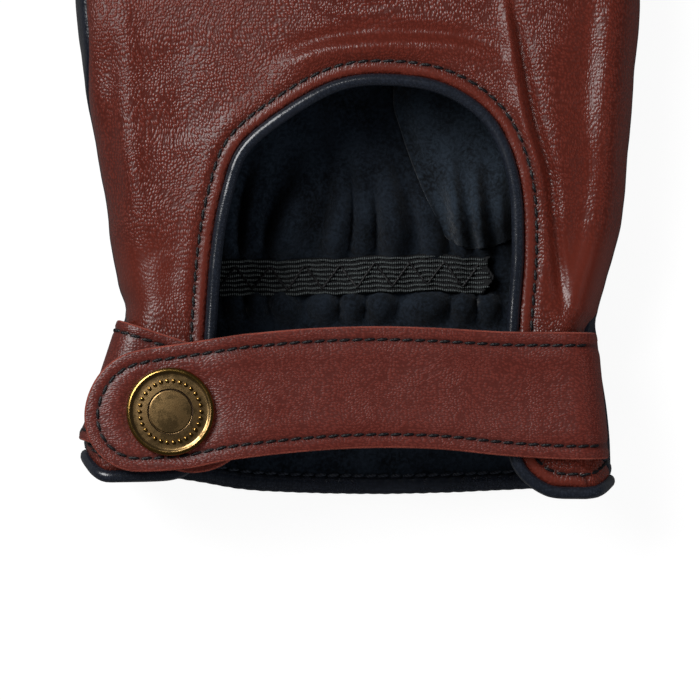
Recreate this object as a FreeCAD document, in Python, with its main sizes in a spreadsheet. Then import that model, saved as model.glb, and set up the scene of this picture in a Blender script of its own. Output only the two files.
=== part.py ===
"""Left-hand driving glove with an open back and a press-stud wrist strap, lying on its palm.

The row frame is in millimetres: +Y runs along the fingers, +X towards the thumb, +Z up out of the
back of the hand. The origin is on the table, under the middle of the wrist strap.
Everything that lies on the back of the hand is placed from the back plane, a plane that falls
gently towards the fingertips. In its own frame that plane is at height 0.
"""

import FreeCAD, Part
import math
import os

import Sketcher
from FreeCAD import Placement, Rotation, Vector

SIZES = {
    # leather of the hand and its outline, seen from above
    "leather": 0.9,
    "cuff_reach": 16.0,
    "cuff_left": 48.0,
    "cuff_right": 44.5,
    "cuff_straight": 8.0,
    "waist_half": 41.7,
    "waist_up": 13.0,
    "heel_left": 44.4,
    "heel_right": 46.4,
    "heel_up": 34.0,
    "palm_half": 49.4,
    "palm_up": 69.0,
    "wrist_height": 21.6,
    "back_fall": 0.026,
    "edge_round": 6.5,
    "base_round": 4.0,
    "seam_depth": 8.0,
    "crotch_round": 1.6,
    "palm_seam_height": 4.2,
    # the three gaps between the fingers
    "little_gap_across": -26.2,
    "little_gap_up": 112.0,
    "ring_gap_across": -1.8,
    "ring_gap_up": 121.0,
    "middle_gap_across": 23.2,
    "middle_gap_up": 122.0,
    # fingers
    "little_width": 19.5,
    "index_width": 21.5,
    "little_length": 62.0,
    "ring_length": 78.0,
    "middle_length": 86.0,
    "index_length": 76.0,
    "little_lean": -5.0,
    "ring_lean": -2.0,
    "middle_lean": 1.0,
    "index_lean": 4.0,
    # thumb
    "thumb_across": 28.0,
    "thumb_up": 45.0,
    "thumb_lean": 22.0,
    "thumb_length": 100.0,
    "thumb_width": 23.0,
    "thumb_height": 15.6,
    "thumb_lift": 0.4,
    "thumb_seam": 8.0,
    # keyhole opening, knuckle holes and their piping
    "keyhole_across": 2.5,
    "keyhole_half": 27.8,
    "keyhole_up": 28.5,
    "corner_round": 9.0,
    "piping_radius": 1.1,
    "knuckle_radius": 6.5,
    "knuckle_stretch": 2.5,
    "knuckle_back": 20.0,
    # elastic in the palm and the thumb gusset
    "elastic_width": 7.5,
    "elastic_left": -30.0,
    "elastic_right": 24.5,
    "elastic_up": 20.5,
    "elastic_thick": 1.2,
    "gusset_thick": 0.8,
    "gusset_reach": 23.0,
    "gusset_foot": 6.0,
    "gusset_drop": 20.0,
    "gusset_rise": 12.0,
    "gusset_round": 5.0,
    # strap and stud tab
    "strap_leather": 0.8,
    "strap_width": 21.0,
    "strap_end_across": -37.8,
    "strap_end_up": -2.9,
    "strap_rise": 1.3,
    "strap_root_up": -1.0,
    "strap_bend": 4.0,
    "strap_gentle_bend": 60.0,
    "strap_flat_end": -22.0,
    "strap_rest": 1.0,
    "strap_root_across": 44.35,
    "strap_root_lean": 5.5,
    "tab_width": 22.0,
    "tab_end_across": -28.8,
    "tab_end_up": -2.3,
    "tab_length": 18.5,
    "tab_slant": -18.0,
    "tab_lift": 1.0,
    # press stud
    "stud_across": -33.1,
    "stud_up": -3.3,
    "cap_radius": 7.7,
    "cap_height": 1.3,
    "post_radius": 1.2,
    "post_flange_radius": 4.2,
    "post_flange": 0.3,
    "stud_flange_radius": 4.6,
    "stud_flange": 0.4,
    "stud_neck_radius": 2.2,
    "stud_neck": 0.6,
    "stud_head_radius": 2.9,
    "stud_head": 1.1,
    "snap_gap": 0.2,
    "socket_radius": 5.4,
    "socket_height": 2.0,
    "socket_bore": 4.1,
    "socket_roof": 0.3,
    "spring_wire": 0.25,
    "hole_clearance": 0.05,
    # stitching
    "stitch_pitch": 2.6,
    "stitch_length": 1.9,
    "stitch_thick": 0.4,
    "stitch_inset": 2.4,
    "stitch_lift": 0.05,
}

FINGERS = ("little", "ring", "middle", "index")
GAPS = (("ring", "little"), ("middle", "ring"), ("index", "middle"))
FAR = 400.0  # longer than the glove, for cutting tools
MOUTH_RUN = 8.0  # how far past the cuff the hand solids run before they are cut off
SIDE_PULL = 30.0  # how strongly the side curves hold their end directions
SIDE_JOIN = 4.0  # how far below a finger's foot its side curve ends
UP = Vector(0, 0, 1)
LEFT, RIGHT = -1, 1

# Heights over the back plane of what the press stud holds together, from the tab upwards.
HEIGHTS = {"tab_bottom": "sizes.tab_lift"}
HEIGHTS["post_bottom"] = f"{HEIGHTS['tab_bottom']} - sizes.post_flange"
HEIGHTS["tab_top"] = f"{HEIGHTS['tab_bottom']} + 2 * sizes.strap_leather"
HEIGHTS["flange_top"] = f"{HEIGHTS['tab_top']} + sizes.stud_flange"
HEIGHTS["neck_top"] = f"{HEIGHTS['flange_top']} + sizes.stud_neck"
HEIGHTS["head_bulge"] = f"{HEIGHTS['neck_top']} + 0.3 * sizes.stud_head"
HEIGHTS["head_shoulder"] = f"{HEIGHTS['neck_top']} + 0.6 * sizes.stud_head"
HEIGHTS["head_top"] = f"{HEIGHTS['neck_top']} + sizes.stud_head"
HEIGHTS["socket_bottom"] = f"{HEIGHTS['flange_top']} + sizes.snap_gap"
HEIGHTS["spring_middle"] = f"{HEIGHTS['socket_bottom']} + 2 * sizes.spring_wire"
HEIGHTS["strap_bottom"] = f"{HEIGHTS['socket_bottom']} + sizes.socket_height"
HEIGHTS["socket_ceiling"] = f"{HEIGHTS['strap_bottom']} - sizes.socket_roof"
HEIGHTS["strap_top"] = f"{HEIGHTS['strap_bottom']} + 2 * sizes.strap_leather"
HEIGHTS["cap_edge"] = f"{HEIGHTS['strap_top']} + 0.35 * sizes.cap_height"
HEIGHTS["cap_shoulder"] = f"{HEIGHTS['strap_top']} + 0.8 * sizes.cap_height"
HEIGHTS["cap_top"] = f"{HEIGHTS['strap_top']} + sizes.cap_height"

doc = FreeCAD.newDocument("driving_glove")
sheet = doc.addObject("Spreadsheet::Sheet", "sizes")
for row, (alias, value) in enumerate(SIZES.items(), start=1):
    sheet.set(f"A{row}", alias)
    sheet.set(f"B{row}", str(value))
    sheet.setAlias(f"B{row}", alias)
doc.recompute()


def size(alias):
    """A driving size, read from the sheet."""
    return float(sheet.get(alias))


def evaluate(text):
    """Value of a sheet expression such as 'sizes.leather * 2'."""
    return float(sheet.evalExpression(text))


def height(name):
    """A height of the press stud's stack over the back plane."""
    return evaluate(HEIGHTS[name])


# ---------------------------------------------------------------- plane geometry helpers


def unit(angle):
    """Direction at an angle in degrees from +Y, turned towards +X."""
    return Vector(math.sin(math.radians(angle)), math.cos(math.radians(angle)), 0)


def right_of(direction):
    """The direction a quarter turn clockwise, seen from above."""
    return Vector(direction.y, -direction.x, 0)


def arc(start, through, end):
    return Part.Arc(start, through, end).toShape()


def line(start, end):
    return Part.LineSegment(start, end).toShape()


def turned(vector, angle, axis=UP):
    return Rotation(axis, angle).multVec(vector)


def face_of(edges):
    return Part.Face(Part.Wire(edges))


def rounded_route(points, radii, closed=False):
    """Edges of straight runs through points, each inner corner rounded by a tangent arc."""
    count = len(points)
    corners = range(count) if closed else range(1, count - 1)
    cuts = {}
    for i in corners:
        before = (points[i - 1] - points[i]).normalize()
        after = (points[(i + 1) % count] - points[i]).normalize()
        half_angle = before.getAngle(after) / 2
        radius = radii[i] if isinstance(radii, (list, tuple)) else radii
        inward = (before + after).normalize()
        middle = points[i] + inward * (radius / math.sin(half_angle) - radius)
        reach = radius / math.tan(half_angle)
        cuts[i] = (points[i] + before * reach, middle, points[i] + after * reach)
    edges = []
    for i in range(count if closed else count - 1):
        j = (i + 1) % count
        start = cuts[i][2] if i in cuts else points[i]
        end = cuts[j][0] if j in cuts else points[j]
        if (end - start).Length > 1e-6:
            edges.append(line(start, end))
        if j in cuts:
            edges.append(arc(*cuts[j]))
    return edges


# ---------------------------------------------------------------- the hand's outline


def finger_layout():
    """Axis, half width and tip centre of each finger, worked out from the gaps between them."""
    gaps = [Vector(size(f"{name}_gap_across"), size(f"{name}_gap_up"), 0)
            for name in ("little", "ring", "middle")]
    clear = size("crotch_round")
    layout = {}
    for i, name in enumerate(FINGERS):
        along = unit(size(f"{name}_lean"))
        across = right_of(along)
        if name == "little":
            width = size("little_width")
            left = gaps[0] - across * (clear + width)
        elif name == "index":
            width = size("index_width")
            left = gaps[2] + across * clear
        else:
            width = (gaps[i] - gaps[i - 1]).dot(across) - 2 * clear
            left = gaps[i - 1] + across * clear
        foot = left + across * (width / 2)
        layout[name] = {
            "along": along,
            "across": across,
            "half": width / 2,
            "foot": foot,
            "tip": foot + along * (size(f"{name}_length") - width / 2),
        }
    return gaps, layout


def cuff_side(sign, inset):
    """Where the hand's left or right side stands at the cuff, inset inwards."""
    return sign * (size("cuff_left" if sign == LEFT else "cuff_right") - inset)


def hand_outline(inset):
    """The hand seen from above, drawn inwards by inset and open well past the cuff."""
    gaps, layout = finger_layout()
    cuff = -size("cuff_reach")
    mouth = cuff - MOUTH_RUN
    little, index = layout["little"], layout["index"]

    def side(sign, finger):
        """Edges of one side, from the mouth up to where the outer finger starts."""
        reach = finger["half"] - inset
        start = Vector(cuff_side(sign, inset), mouth, 0)
        cuff_point = Vector(cuff_side(sign, inset), cuff + size("cuff_straight"), 0)
        waist = Vector(sign * (size("waist_half") - inset), size("waist_up"), 0)
        heel_half = size("heel_left" if sign == LEFT else "heel_right")
        heel = Vector(sign * (heel_half - inset), size("heel_up"), 0)
        palm = Vector(sign * (size("palm_half") - inset), size("palm_up"), 0)
        knuckle = finger["foot"] + finger["across"] * (sign * reach) - finger["along"] * SIDE_JOIN
        curve = Part.BSplineCurve()
        curve.interpolate(
            Points=[cuff_point, waist, heel, palm, knuckle],
            InitialTangent=Vector(0, SIDE_PULL, 0),
            FinalTangent=finger["along"] * SIDE_PULL,
        )
        return [line(start, cuff_point), curve.toShape()], knuckle, start

    edges, here, left_mouth = side(LEFT, little)
    for i, name in enumerate(FINGERS):
        finger = layout[name]
        reach = finger["half"] - inset
        left_tip = finger["tip"] - finger["across"] * reach
        right_tip = finger["tip"] + finger["across"] * reach
        edges.append(line(here, left_tip))
        edges.append(arc(left_tip, finger["tip"] + finger["along"] * reach, right_tip))
        here = right_tip
        if name != FINGERS[-1]:
            following = layout[FINGERS[i + 1]]
            clear = size("crotch_round") + inset
            start = gaps[i] - finger["across"] * clear
            end = gaps[i] + following["across"] * clear
            low = gaps[i] - (finger["along"] + following["along"]).normalize() * clear
            edges.append(line(here, start))
            edges.append(arc(start, low, end))
            here = end
    right_edges, knuckle, right_mouth = side(RIGHT, index)
    edges.append(line(here, knuckle))
    edges += right_edges[::-1]
    edges.append(line(right_mouth, left_mouth))
    return Part.Face(Part.Wire(Part.__sortEdges__(edges)))


# ---------------------------------------------------------------- the back plane

BACK = Placement(
    Vector(0, 0, size("wrist_height")),
    Rotation(Vector(1, 0, 0), -math.degrees(math.atan(size("back_fall")))),
)


def on_back(shape):
    """A shape drawn on the back plane, moved to its place in the row frame."""
    placed = shape.copy()
    placed.Placement = BACK.multiply(placed.Placement)
    return placed


def back_slab(top, bottom):
    """A wide slab between two heights over the back plane."""
    slab = Part.makeBox(FAR * 2, FAR * 2, top - bottom, Vector(-FAR, -FAR, bottom))
    return on_back(slab)


def flat_slab(bottom, top):
    return Part.makeBox(FAR * 2, FAR * 2, top - bottom, Vector(-FAR, -FAR, bottom))


def is_mouth_edge(edge, mouth):
    return all(abs(vertex.Point.y - mouth) < 0.01 for vertex in edge.Vertexes)


def hand_solid(inset):
    """The whole hand as one soft-edged solid; inset draws every face inwards."""
    outline = hand_outline(inset)
    outline.translate(Vector(0, 0, inset))
    mouth = outline.BoundBox.YMin
    blank = outline.extrude(Vector(0, 0, size("wrist_height") * 2))
    blank = blank.common(back_slab(-inset, -FAR))
    to_back = BACK.inverse()
    top, bottom = [], []
    for edge in blank.Edges:
        if is_mouth_edge(edge, mouth):
            continue
        points = [vertex.Point for vertex in edge.Vertexes]
        if all(abs(to_back.multVec(p).z + inset) < 0.01 for p in points):
            top.append(edge)
        elif all(abs(p.z - inset) < 0.01 for p in points):
            bottom.append(edge)
    soft = blank.makeFillet(size("edge_round") - inset, top)
    bottom_keys = [edge.CenterOfMass for edge in bottom]
    lower = [edge for edge in soft.Edges
             if any((edge.CenterOfMass - key).Length < 0.05 for key in bottom_keys)]
    return soft.makeFillet(size("base_round") - inset, lower)


def thumb_solid(inset):
    """The thumb stall as a soft-edged capsule, its root inside the palm."""
    along = unit(0)
    reach = size("thumb_width") / 2 - inset
    tip = along * (size("thumb_length") - size("thumb_width") / 2)
    root = Vector(0, 0, 0)
    side = Vector(reach, 0, 0)
    outline = face_of([
        line(root - side, tip - side),
        arc(tip - side, tip + along * reach, tip + side),
        line(tip + side, root + side),
        line(root + side, root - side),
    ])
    outline.translate(Vector(0, 0, inset))
    blank = outline.extrude(Vector(0, 0, size("thumb_height") - 2 * inset))
    rims = [edge for edge in blank.Edges
            if abs(edge.Vertexes[0].Point.z - edge.Vertexes[-1].Point.z) < 0.01
            and not is_mouth_edge(edge, 0.0)]
    soft = blank.makeFillet(size("base_round") - inset, rims)
    base = Vector(size("thumb_across"), size("thumb_up"), size("thumb_lift"))
    soft.Placement = Placement(base, Rotation(UP, -size("thumb_lean")))
    return soft


# ---------------------------------------------------------------- openings in the back


def keyhole_edges(drop, corner):
    """The keyhole's edge on the back plane, from the left cuff edge over the arch to the right.

    drop moves the edge into the opening; corner is the radius where it turns into the cuff edge.
    """
    half = size("keyhole_half") - drop
    cuff = -size("cuff_reach") - drop
    middle, spring_line = size("keyhole_across"), size("keyhole_up")
    turn = corner * (1 - math.sqrt(0.5))
    edges = []
    for sign in (LEFT, RIGHT):
        x = middle + sign * half
        foot = Vector(x + sign * corner, cuff, 0)
        bend = Vector(x + sign * turn, cuff + turn, 0)
        shoulder = Vector(x, cuff + corner, 0)
        upper = Vector(x, spring_line, 0)
        run = [arc(foot, bend, shoulder), line(shoulder, upper)]
        if sign == LEFT:
            edges += run
            edges.append(arc(upper, Vector(middle, spring_line + half, 0),
                             Vector(middle + half, spring_line, 0)))
        else:
            edges += run[::-1]
    return edges


def keyhole_cutter():
    corner = size("corner_round")
    edges = keyhole_edges(0.0, corner)
    left = size("keyhole_across") - size("keyhole_half") - corner
    right = size("keyhole_across") + size("keyhole_half") + corner
    cuff = -size("cuff_reach")
    beyond = cuff - 12.0
    edges += [
        line(Vector(right, cuff, 0), Vector(right, beyond, 0)),
        line(Vector(right, beyond, 0), Vector(left, beyond, 0)),
        line(Vector(left, beyond, 0), Vector(left, cuff, 0)),
    ]
    blank = Part.Face(Part.Wire(Part.__sortEdges__(edges)))
    blank.translate(Vector(0, 0, -size("wrist_height") / 2))
    return on_back(blank.extrude(Vector(0, 0, size("wrist_height"))))


def knuckle_centre(name):
    """Centre of a knuckle hole on the back plane, on the finger's own axis."""
    finger = finger_layout()[1][name]
    centre = finger["foot"] - finger["along"] * size("knuckle_back")
    inwards = {"little": 2.5, "index": -1.5}.get(name, 0.0)
    return centre + finger["across"] * inwards, size(f"{name}_lean")


def knuckle_ring(name, drop):
    """Closed oval wire of a knuckle hole's edge, drop inside the cut."""
    centre, lean = knuckle_centre(name)
    radius = size("knuckle_radius") - drop
    rise = size("knuckle_stretch")
    side = Vector(radius, 0, 0)
    top, bottom = Vector(0, rise, 0), Vector(0, -rise, 0)
    peak = Vector(0, rise + radius, 0)
    edges = [
        line(bottom - side, top - side),
        arc(top - side, peak, top + side),
        line(top + side, bottom + side),
        arc(bottom + side, -peak, bottom - side),
    ]
    wire = Part.Wire(edges)
    wire.Placement = Placement(centre, Rotation(UP, -lean))
    return wire


def knuckle_cutter(name):
    blank = Part.Face(knuckle_ring(name, 0.0))
    blank.translate(Vector(0, 0, -size("wrist_height") / 4))
    return on_back(blank.extrude(Vector(0, 0, size("wrist_height") / 2)))


def piped(wire, start, direction, radius):
    """A round bar along a wire."""
    circle = Part.makeCircle(radius, start, direction)
    return wire.makePipeShell([Part.Wire(circle)], True, True)


# ---------------------------------------------------------------- leather panels

nodes = []


def node(item, name):
    """Marks a finished sub-part; its label names its file."""
    item.Label = name
    nodes.append(item)
    return item


def stock(name, shape):
    """A shape of the document that other objects are cut from or cut with."""
    item = doc.addObject("Part::Feature", name)
    item.Shape = shape
    return item


def add(name, shape):
    """A sub-part whose shape is ready as it stands."""
    return node(stock(name, shape), name)


def cut(name, base, tool):
    item = doc.addObject("Part::Cut", name)
    item.Base = base
    item.Tool = tool
    return item


def common(name, base, tool):
    item = doc.addObject("Part::Common", name)
    item.Base = base
    item.Tool = tool
    return item


def fused(name, items):
    item = doc.addObject("Part::MultiFuse", name)
    item.Shapes = items
    return item


def gap_zone(i):
    """Upright prism over one gap, which holds the facing walls of two neighbouring fingers."""
    gaps, layout = finger_layout()
    first, second = layout[FINGERS[i]], layout[FINGERS[i + 1]]
    low = gaps[i] - Vector(0, size("crotch_round") + 3 * size("leather"), 0)

    def root(finger):
        return finger["foot"] + finger["along"] * (low - finger["foot"]).dot(finger["along"])

    def top(finger):
        return finger["tip"] + finger["along"] * (finger["half"] / 2)

    corners = [root(first), top(first), top(second), root(second)]
    edges = [line(corners[k], corners[(k + 1) % 4]) for k in range(4)]
    return face_of(edges).extrude(Vector(0, 0, size("wrist_height")))


def build_panels():
    """The back, the palm and the strips between the fingers, all cut from one shell."""
    past_cuff = Part.makeBox(FAR * 2, FAR, FAR, Vector(-FAR, -FAR - size("cuff_reach"), -FAR / 2))
    thumb_inside = thumb_solid(size("leather"))
    shell = hand_solid(0.0).cut(hand_solid(size("leather"))).cut(past_cuff).cut(thumb_inside)
    seam = -size("seam_depth")

    upper = stock("hand_upper", shell.common(back_slab(FAR / 4, seam)))
    holes = [stock("keyhole", keyhole_cutter())]
    holes += [stock(f"knuckle_hole_{name}", knuckle_cutter(name)) for name in FINGERS]
    node(cut("back_panel", upper, fused("back_openings", holes)), "back_panel")

    lower = stock("hand_lower", shell.common(back_slab(seam, -FAR / 4)))
    raised = flat_slab(size("palm_seam_height"), FAR / 4)
    zones = []
    for i, (first, second) in enumerate(GAPS):
        zone = stock(f"gap_{first}_{second}", gap_zone(i).common(raised))
        zones.append(zone)
        name = f"fourchette_{first}_{second}"
        node(common(name, lower, zone), name)
    node(cut("palm_panel", lower, fused("finger_gaps", zones)), "palm_panel")


def build_thumb():
    """The thumb stall, in a back half and a palm half that meet at its seam."""
    shell = thumb_solid(0.0).cut(thumb_solid(size("leather"))).cut(hand_solid(0.0))
    stall = stock("thumb_stall", shell)
    below = doc.addObject("Part::Box", "thumb_below_seam")
    below.Length = FAR
    below.Width = FAR
    below.setExpression("Height", "sizes.thumb_lift + sizes.thumb_seam")
    below.Placement.Base = Vector(-FAR / 2, -FAR / 2, 0)
    node(common("thumb_palm", stall, below), "thumb_palm")
    node(cut("thumb_back", stall, below), "thumb_back")


def build_gusset():
    """The turned-in leather round the thumb hole, lying on the inside of the palm."""
    left = "sizes.thumb_across - sizes.gusset_reach"
    middle = "sizes.thumb_across - sizes.gusset_foot"
    right = "sizes.thumb_across + sizes.gusset_foot"
    upper = "sizes.thumb_up + sizes.gusset_rise"
    lower = "sizes.thumb_up - sizes.gusset_drop"
    body = doc.addObject("PartDesign::Body", "thumb_gusset")
    outline = [(left, upper), (middle, lower), (right, lower), (right, upper)]
    pad = body.newObject("PartDesign::Pad", "gusset_pad")
    pad.Profile = sketched(body, "XY_Plane", outline)
    pad.setExpression("Length", "sizes.gusset_thick")
    doc.recompute()
    corners = [f"Edge{k}" for k, edge in enumerate(pad.Shape.Edges, start=1)
               if abs(edge.tangentAt(edge.FirstParameter).z) > 0.9]
    turns = body.newObject("PartDesign::Fillet", "gusset_corners")
    turns.Base = (pad, corners)
    turns.setExpression("Radius", "sizes.gusset_round")
    body.Tip = turns
    body.setExpression("Placement.Base.z", "sizes.leather")
    node(body, "thumb_gusset")


def build_elastic():
    """The elastic tape and its zigzag, on the inside of the palm."""
    tape = doc.addObject("Part::Box", "palm_elastic")
    tape.setExpression("Length", "sizes.elastic_right - sizes.elastic_left")
    tape.setExpression("Width", "sizes.elastic_width")
    tape.setExpression("Height", "sizes.elastic_thick")
    tape.setExpression("Placement.Base.x", "sizes.elastic_left")
    tape.setExpression("Placement.Base.y", "sizes.elastic_up - sizes.elastic_width / 2")
    tape.setExpression("Placement.Base.z", "sizes.leather")
    node(tape, "palm_elastic")
    top = size("leather") + size("elastic_thick")
    margin = size("elastic_width") / 6
    left, right = size("elastic_left") + margin, size("elastic_right") - margin
    count = 2 * round((right - left) / size("elastic_width"))
    step = (right - left) / count
    half = size("elastic_width") / 2 - margin
    bars = []
    for k in range(count):
        sign = 1 if k % 2 else -1
        start = Vector(left + k * step, size("elastic_up") - sign * half, top)
        end = Vector(left + (k + 1) * step, size("elastic_up") + sign * half, top)
        length = (end - start).Length - 2 * size("stitch_thick")
        bars.append(stitch_bar((start + end) / 2, end - start, length))
    add("elastic_stitching", Part.makeCompound(bars))


# ---------------------------------------------------------------- piping and bindings


def build_piping():
    """One strip of piping: up the left side, along the cuff edge, round the keyhole and down again."""
    radius = size("piping_radius")
    bend = size("edge_round")
    cuff = -size("cuff_reach") - radius
    edges = keyhole_edges(radius, size("corner_round"))
    low = radius - size("seam_depth")
    turn = bend * (1 - math.sqrt(0.5))
    for sign in (LEFT, RIGHT):
        reach = size("keyhole_half") - radius + size("corner_round")
        foot = Vector(size("keyhole_across") + sign * reach, cuff, 0)
        side = cuff_side(sign, radius)
        shoulder = Vector(side - sign * bend, cuff, 0)
        hip = Vector(side - sign * turn, cuff, -turn)
        edges += [
            line(foot, shoulder),
            arc(shoulder, hip, Vector(side, cuff, -bend)),
            line(Vector(side, cuff, -bend), Vector(side, cuff, low)),
        ]
    wire = Part.Wire(Part.__sortEdges__(edges))
    bar = piped(wire, Vector(cuff_side(LEFT, radius), cuff, low), UP, radius)
    bar.translate(Vector(0, 0, -size("leather") / 2))
    add("keyhole_piping", on_back(bar))
    for name in FINGERS:
        ring = knuckle_ring(name, radius)
        first = ring.Edges[0]
        ring_bar = piped(ring, first.valueAt(first.FirstParameter),
                         first.tangentAt(first.FirstParameter), radius)
        ring_bar.translate(Vector(0, 0, -size("leather") / 2))
        add(f"knuckle_piping_{name}", on_back(ring_bar))


def build_palm_binding():
    """The rolled edge of the palm at the cuff, from seam to seam under the wrist."""
    radius = size("piping_radius")
    y = -size("cuff_reach") - radius
    left, right = cuff_side(LEFT, radius), cuff_side(RIGHT, radius)
    top = size("wrist_height") - size("seam_depth") - radius
    corners = [Vector(left, y, top), Vector(left, y, radius), Vector(right, y, radius),
               Vector(right, y, top)]
    wire = Part.Wire(rounded_route(corners, size("base_round")))
    add("palm_cuff_binding", piped(wire, corners[0], UP, radius))


# ---------------------------------------------------------------- strap and stud tab


def offset_route(points, distance):
    """Points of a route in the XZ plane moved sideways, to the left of its direction."""
    moved = []
    for i, point in enumerate(points):
        here = []
        for a, b in ((i - 1, i), (i, i + 1)):
            if 0 <= a and b < len(points):
                run = (points[b] - points[a]).normalize()
                here.append((run, Vector(-run.z, 0, run.x)))
        if len(here) == 1:
            moved.append(point + here[0][1] * distance)
        else:
            normal = (here[0][1] + here[1][1]).normalize()
            moved.append(point + normal * (distance / normal.dot(here[0][1])))
    return moved


def strap_route():
    """Underside of the strap in the XZ plane, from its free end to its root at the right seam."""
    root_x = size("strap_root_across")
    free_end = size("strap_end_across") - size("strap_width")
    return [
        Vector(free_end, 0, height("strap_bottom")),
        Vector(size("strap_flat_end"), 0, height("strap_bottom")),
        Vector(size("keyhole_across") + size("keyhole_half"), 0, size("strap_rest")),
        Vector(root_x, 0, size("strap_rest")),
        Vector(root_x, 0, -size("seam_depth")),
    ]


def strap_radii(offset):
    """Bend radii at each corner of the strap's route, offset outwards from its underside."""
    gentle = size("strap_gentle_bend")
    return [0.0, gentle + offset, gentle - offset, size("strap_bend") + offset, 0.0]


def tab_route():
    """Underside of the stud tab in its own frame, from its root at the seam to its free end."""
    root_x = -size("tab_length")
    return [
        Vector(root_x, 0, -size("seam_depth")),
        Vector(root_x, 0, height("tab_bottom")),
        Vector(size("tab_width"), 0, height("tab_bottom")),
    ]


def tab_radii(offset):
    """Bend radii at each corner of the tab's route, offset outwards from its underside."""
    return [0.0, size("strap_bend") + offset, 0.0]


def band(route, radii_at, low, high):
    """A leather layer between two distances over a route, as a long strip along Y."""
    lower = rounded_route(offset_route(route, low), radii_at(low))
    upper = rounded_route(offset_route(route, high), radii_at(high))
    first = line(lower[0].Vertexes[0].Point, upper[0].Vertexes[0].Point)
    last = line(lower[-1].Vertexes[-1].Point, upper[-1].Vertexes[-1].Point)
    profile = Part.Face(Part.Wire(Part.__sortEdges__(lower + upper + [first, last])))
    profile.translate(Vector(0, -FAR / 8, 0))
    return profile.extrude(Vector(0, FAR / 4, 0))


def strap_outline(margin):
    """The strap seen from above, margin inside its edge: a gently arched band with a round end."""
    reach = size("strap_width") / 2 - margin
    left = Vector(size("strap_end_across"), size("strap_end_up"), 0)
    middle = Vector(0, size("strap_rise"), 0)
    right = Vector(size("strap_root_across") + size("strap_bend"), size("strap_root_up"), 0)
    centre = arc(left, middle, right).Curve.Center

    def beside(point, distance):
        return point + (point - centre).normalize() * distance

    outward = turned((left - centre).normalize(), 90)
    return [
        arc(beside(left, reach), beside(middle, reach), beside(right, reach)),
        line(beside(right, reach), beside(right, -reach)),
        arc(beside(right, -reach), beside(middle, -reach), beside(left, -reach)),
        arc(beside(left, -reach), left + outward * reach, beside(left, reach)),
    ]


def tab_outline(margin):
    """The stud tab seen from above in its own frame, margin inside its edge."""
    reach = size("tab_width") / 2 - margin
    back = -size("tab_length") - size("tab_width") / 2
    return [
        line(Vector(back, reach, 0), Vector(0, reach, 0)),
        arc(Vector(0, reach, 0), Vector(reach, 0, 0), Vector(0, -reach, 0)),
        line(Vector(0, -reach, 0), Vector(back, -reach, 0)),
        line(Vector(back, -reach, 0), Vector(back, reach, 0)),
    ]


def plan_prism(edges):
    blank = Part.Face(Part.Wire(Part.__sortEdges__(edges)))
    blank.translate(Vector(0, 0, -FAR / 8))
    return blank.extrude(Vector(0, 0, FAR / 4))


def build_ply(name, layer_shape, outline):
    """One layer of a strap: its bent band, cut to its outline and pierced for the press stud."""
    layer = stock(f"{name}_band", layer_shape)
    plan = stock(f"{name}_plan", outline)
    hole = doc.addObject("Part::Cylinder", f"{name}_hole")
    hole.setExpression("Radius", "sizes.post_radius + sizes.hole_clearance")
    hole.Height = FAR / 8
    hole.setExpression("Placement.Base.x", "sizes.stud_across")
    hole.setExpression("Placement.Base.y", "sizes.stud_up")
    ply = cut(name, common(f"{name}_trimmed", layer, plan), hole)
    ply.Placement = BACK
    node(ply, name)


def leaning(shape):
    """A strap band turned about its root, so that the root follows the hand's right side."""
    shape.rotate(Vector(size("strap_root_across"), 0, 0), UP, size("strap_root_lean"))
    return shape


def in_tab_frame(shape):
    """A shape drawn in the stud tab's own frame, moved to its place on the back plane."""
    end = Vector(size("tab_end_across"), size("tab_end_up"), 0)
    shape.Placement = Placement(end, Rotation(UP, size("tab_slant"))).multiply(shape.Placement)
    return shape


def build_strap():
    """Strap and stud tab, each of a lining and an outer layer."""
    ply = size("strap_leather")
    strap_plan = plan_prism(strap_outline(0.0))
    tab_plan = in_tab_frame(plan_prism(tab_outline(0.0)))
    for side, low in (("lining", 0.0), ("outer", ply)):
        strap_band = leaning(band(strap_route(), strap_radii, low, low + ply))
        build_ply(f"strap_{side}", strap_band, strap_plan)
        tab_band = in_tab_frame(band(tab_route(), tab_radii, low, low + ply))
        build_ply(f"tab_{side}", tab_band, tab_plan)


# ---------------------------------------------------------------- stitching


def stitch_bar(centre, direction, length):
    """One visible stitch: a small square bar lying on the leather."""
    thick = size("stitch_thick")
    along = Vector(direction).normalize()
    bar = Part.makeBox(length, thick, thick * 0.6, Vector(-length / 2, -thick / 2, 0))
    flat = Vector(along.x, along.y, 0).normalize()
    turn = Rotation(UP, math.degrees(math.atan2(flat.y, flat.x)))
    pitch = Rotation(Vector(0, 1, 0), -math.degrees(math.asin(along.z)))
    bar.Placement = Placement(centre + Vector(0, 0, size("stitch_lift")), turn.multiply(pitch))
    return bar


def stitch_row(wire, height_at, keep=lambda point: True):
    """Stitches along a plane wire, laid at the height that height_at gives for a place."""
    count = max(2, round(wire.Length / size("stitch_pitch")))
    points = wire.discretize(Number=2 * count + 1)
    bars = []
    for k in range(count):
        before, here, after = points[2 * k: 2 * k + 3]
        raised = [Vector(p.x, p.y, height_at(p)) for p in (before, here, after)]
        if keep(here):
            bars.append(stitch_bar(raised[1], raised[2] - raised[0], size("stitch_length")))
    return bars


def route_height(route, x):
    """Height of a route in the XZ plane over a place across."""
    for a, b in zip(route, route[1:]):
        low, high = sorted((a.x, b.x))
        if low <= x <= high and high - low > 1e-6:
            return a.z + (b.z - a.z) * (x - a.x) / (b.x - a.x)
    return route[-1].z


def along_strap(point):
    """How far across a place on the strap lies, in the frame that leans with the strap's root."""
    root = Vector(size("strap_root_across"), 0, 0)
    return (root + turned(point - root, -size("strap_root_lean"))).x


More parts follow.
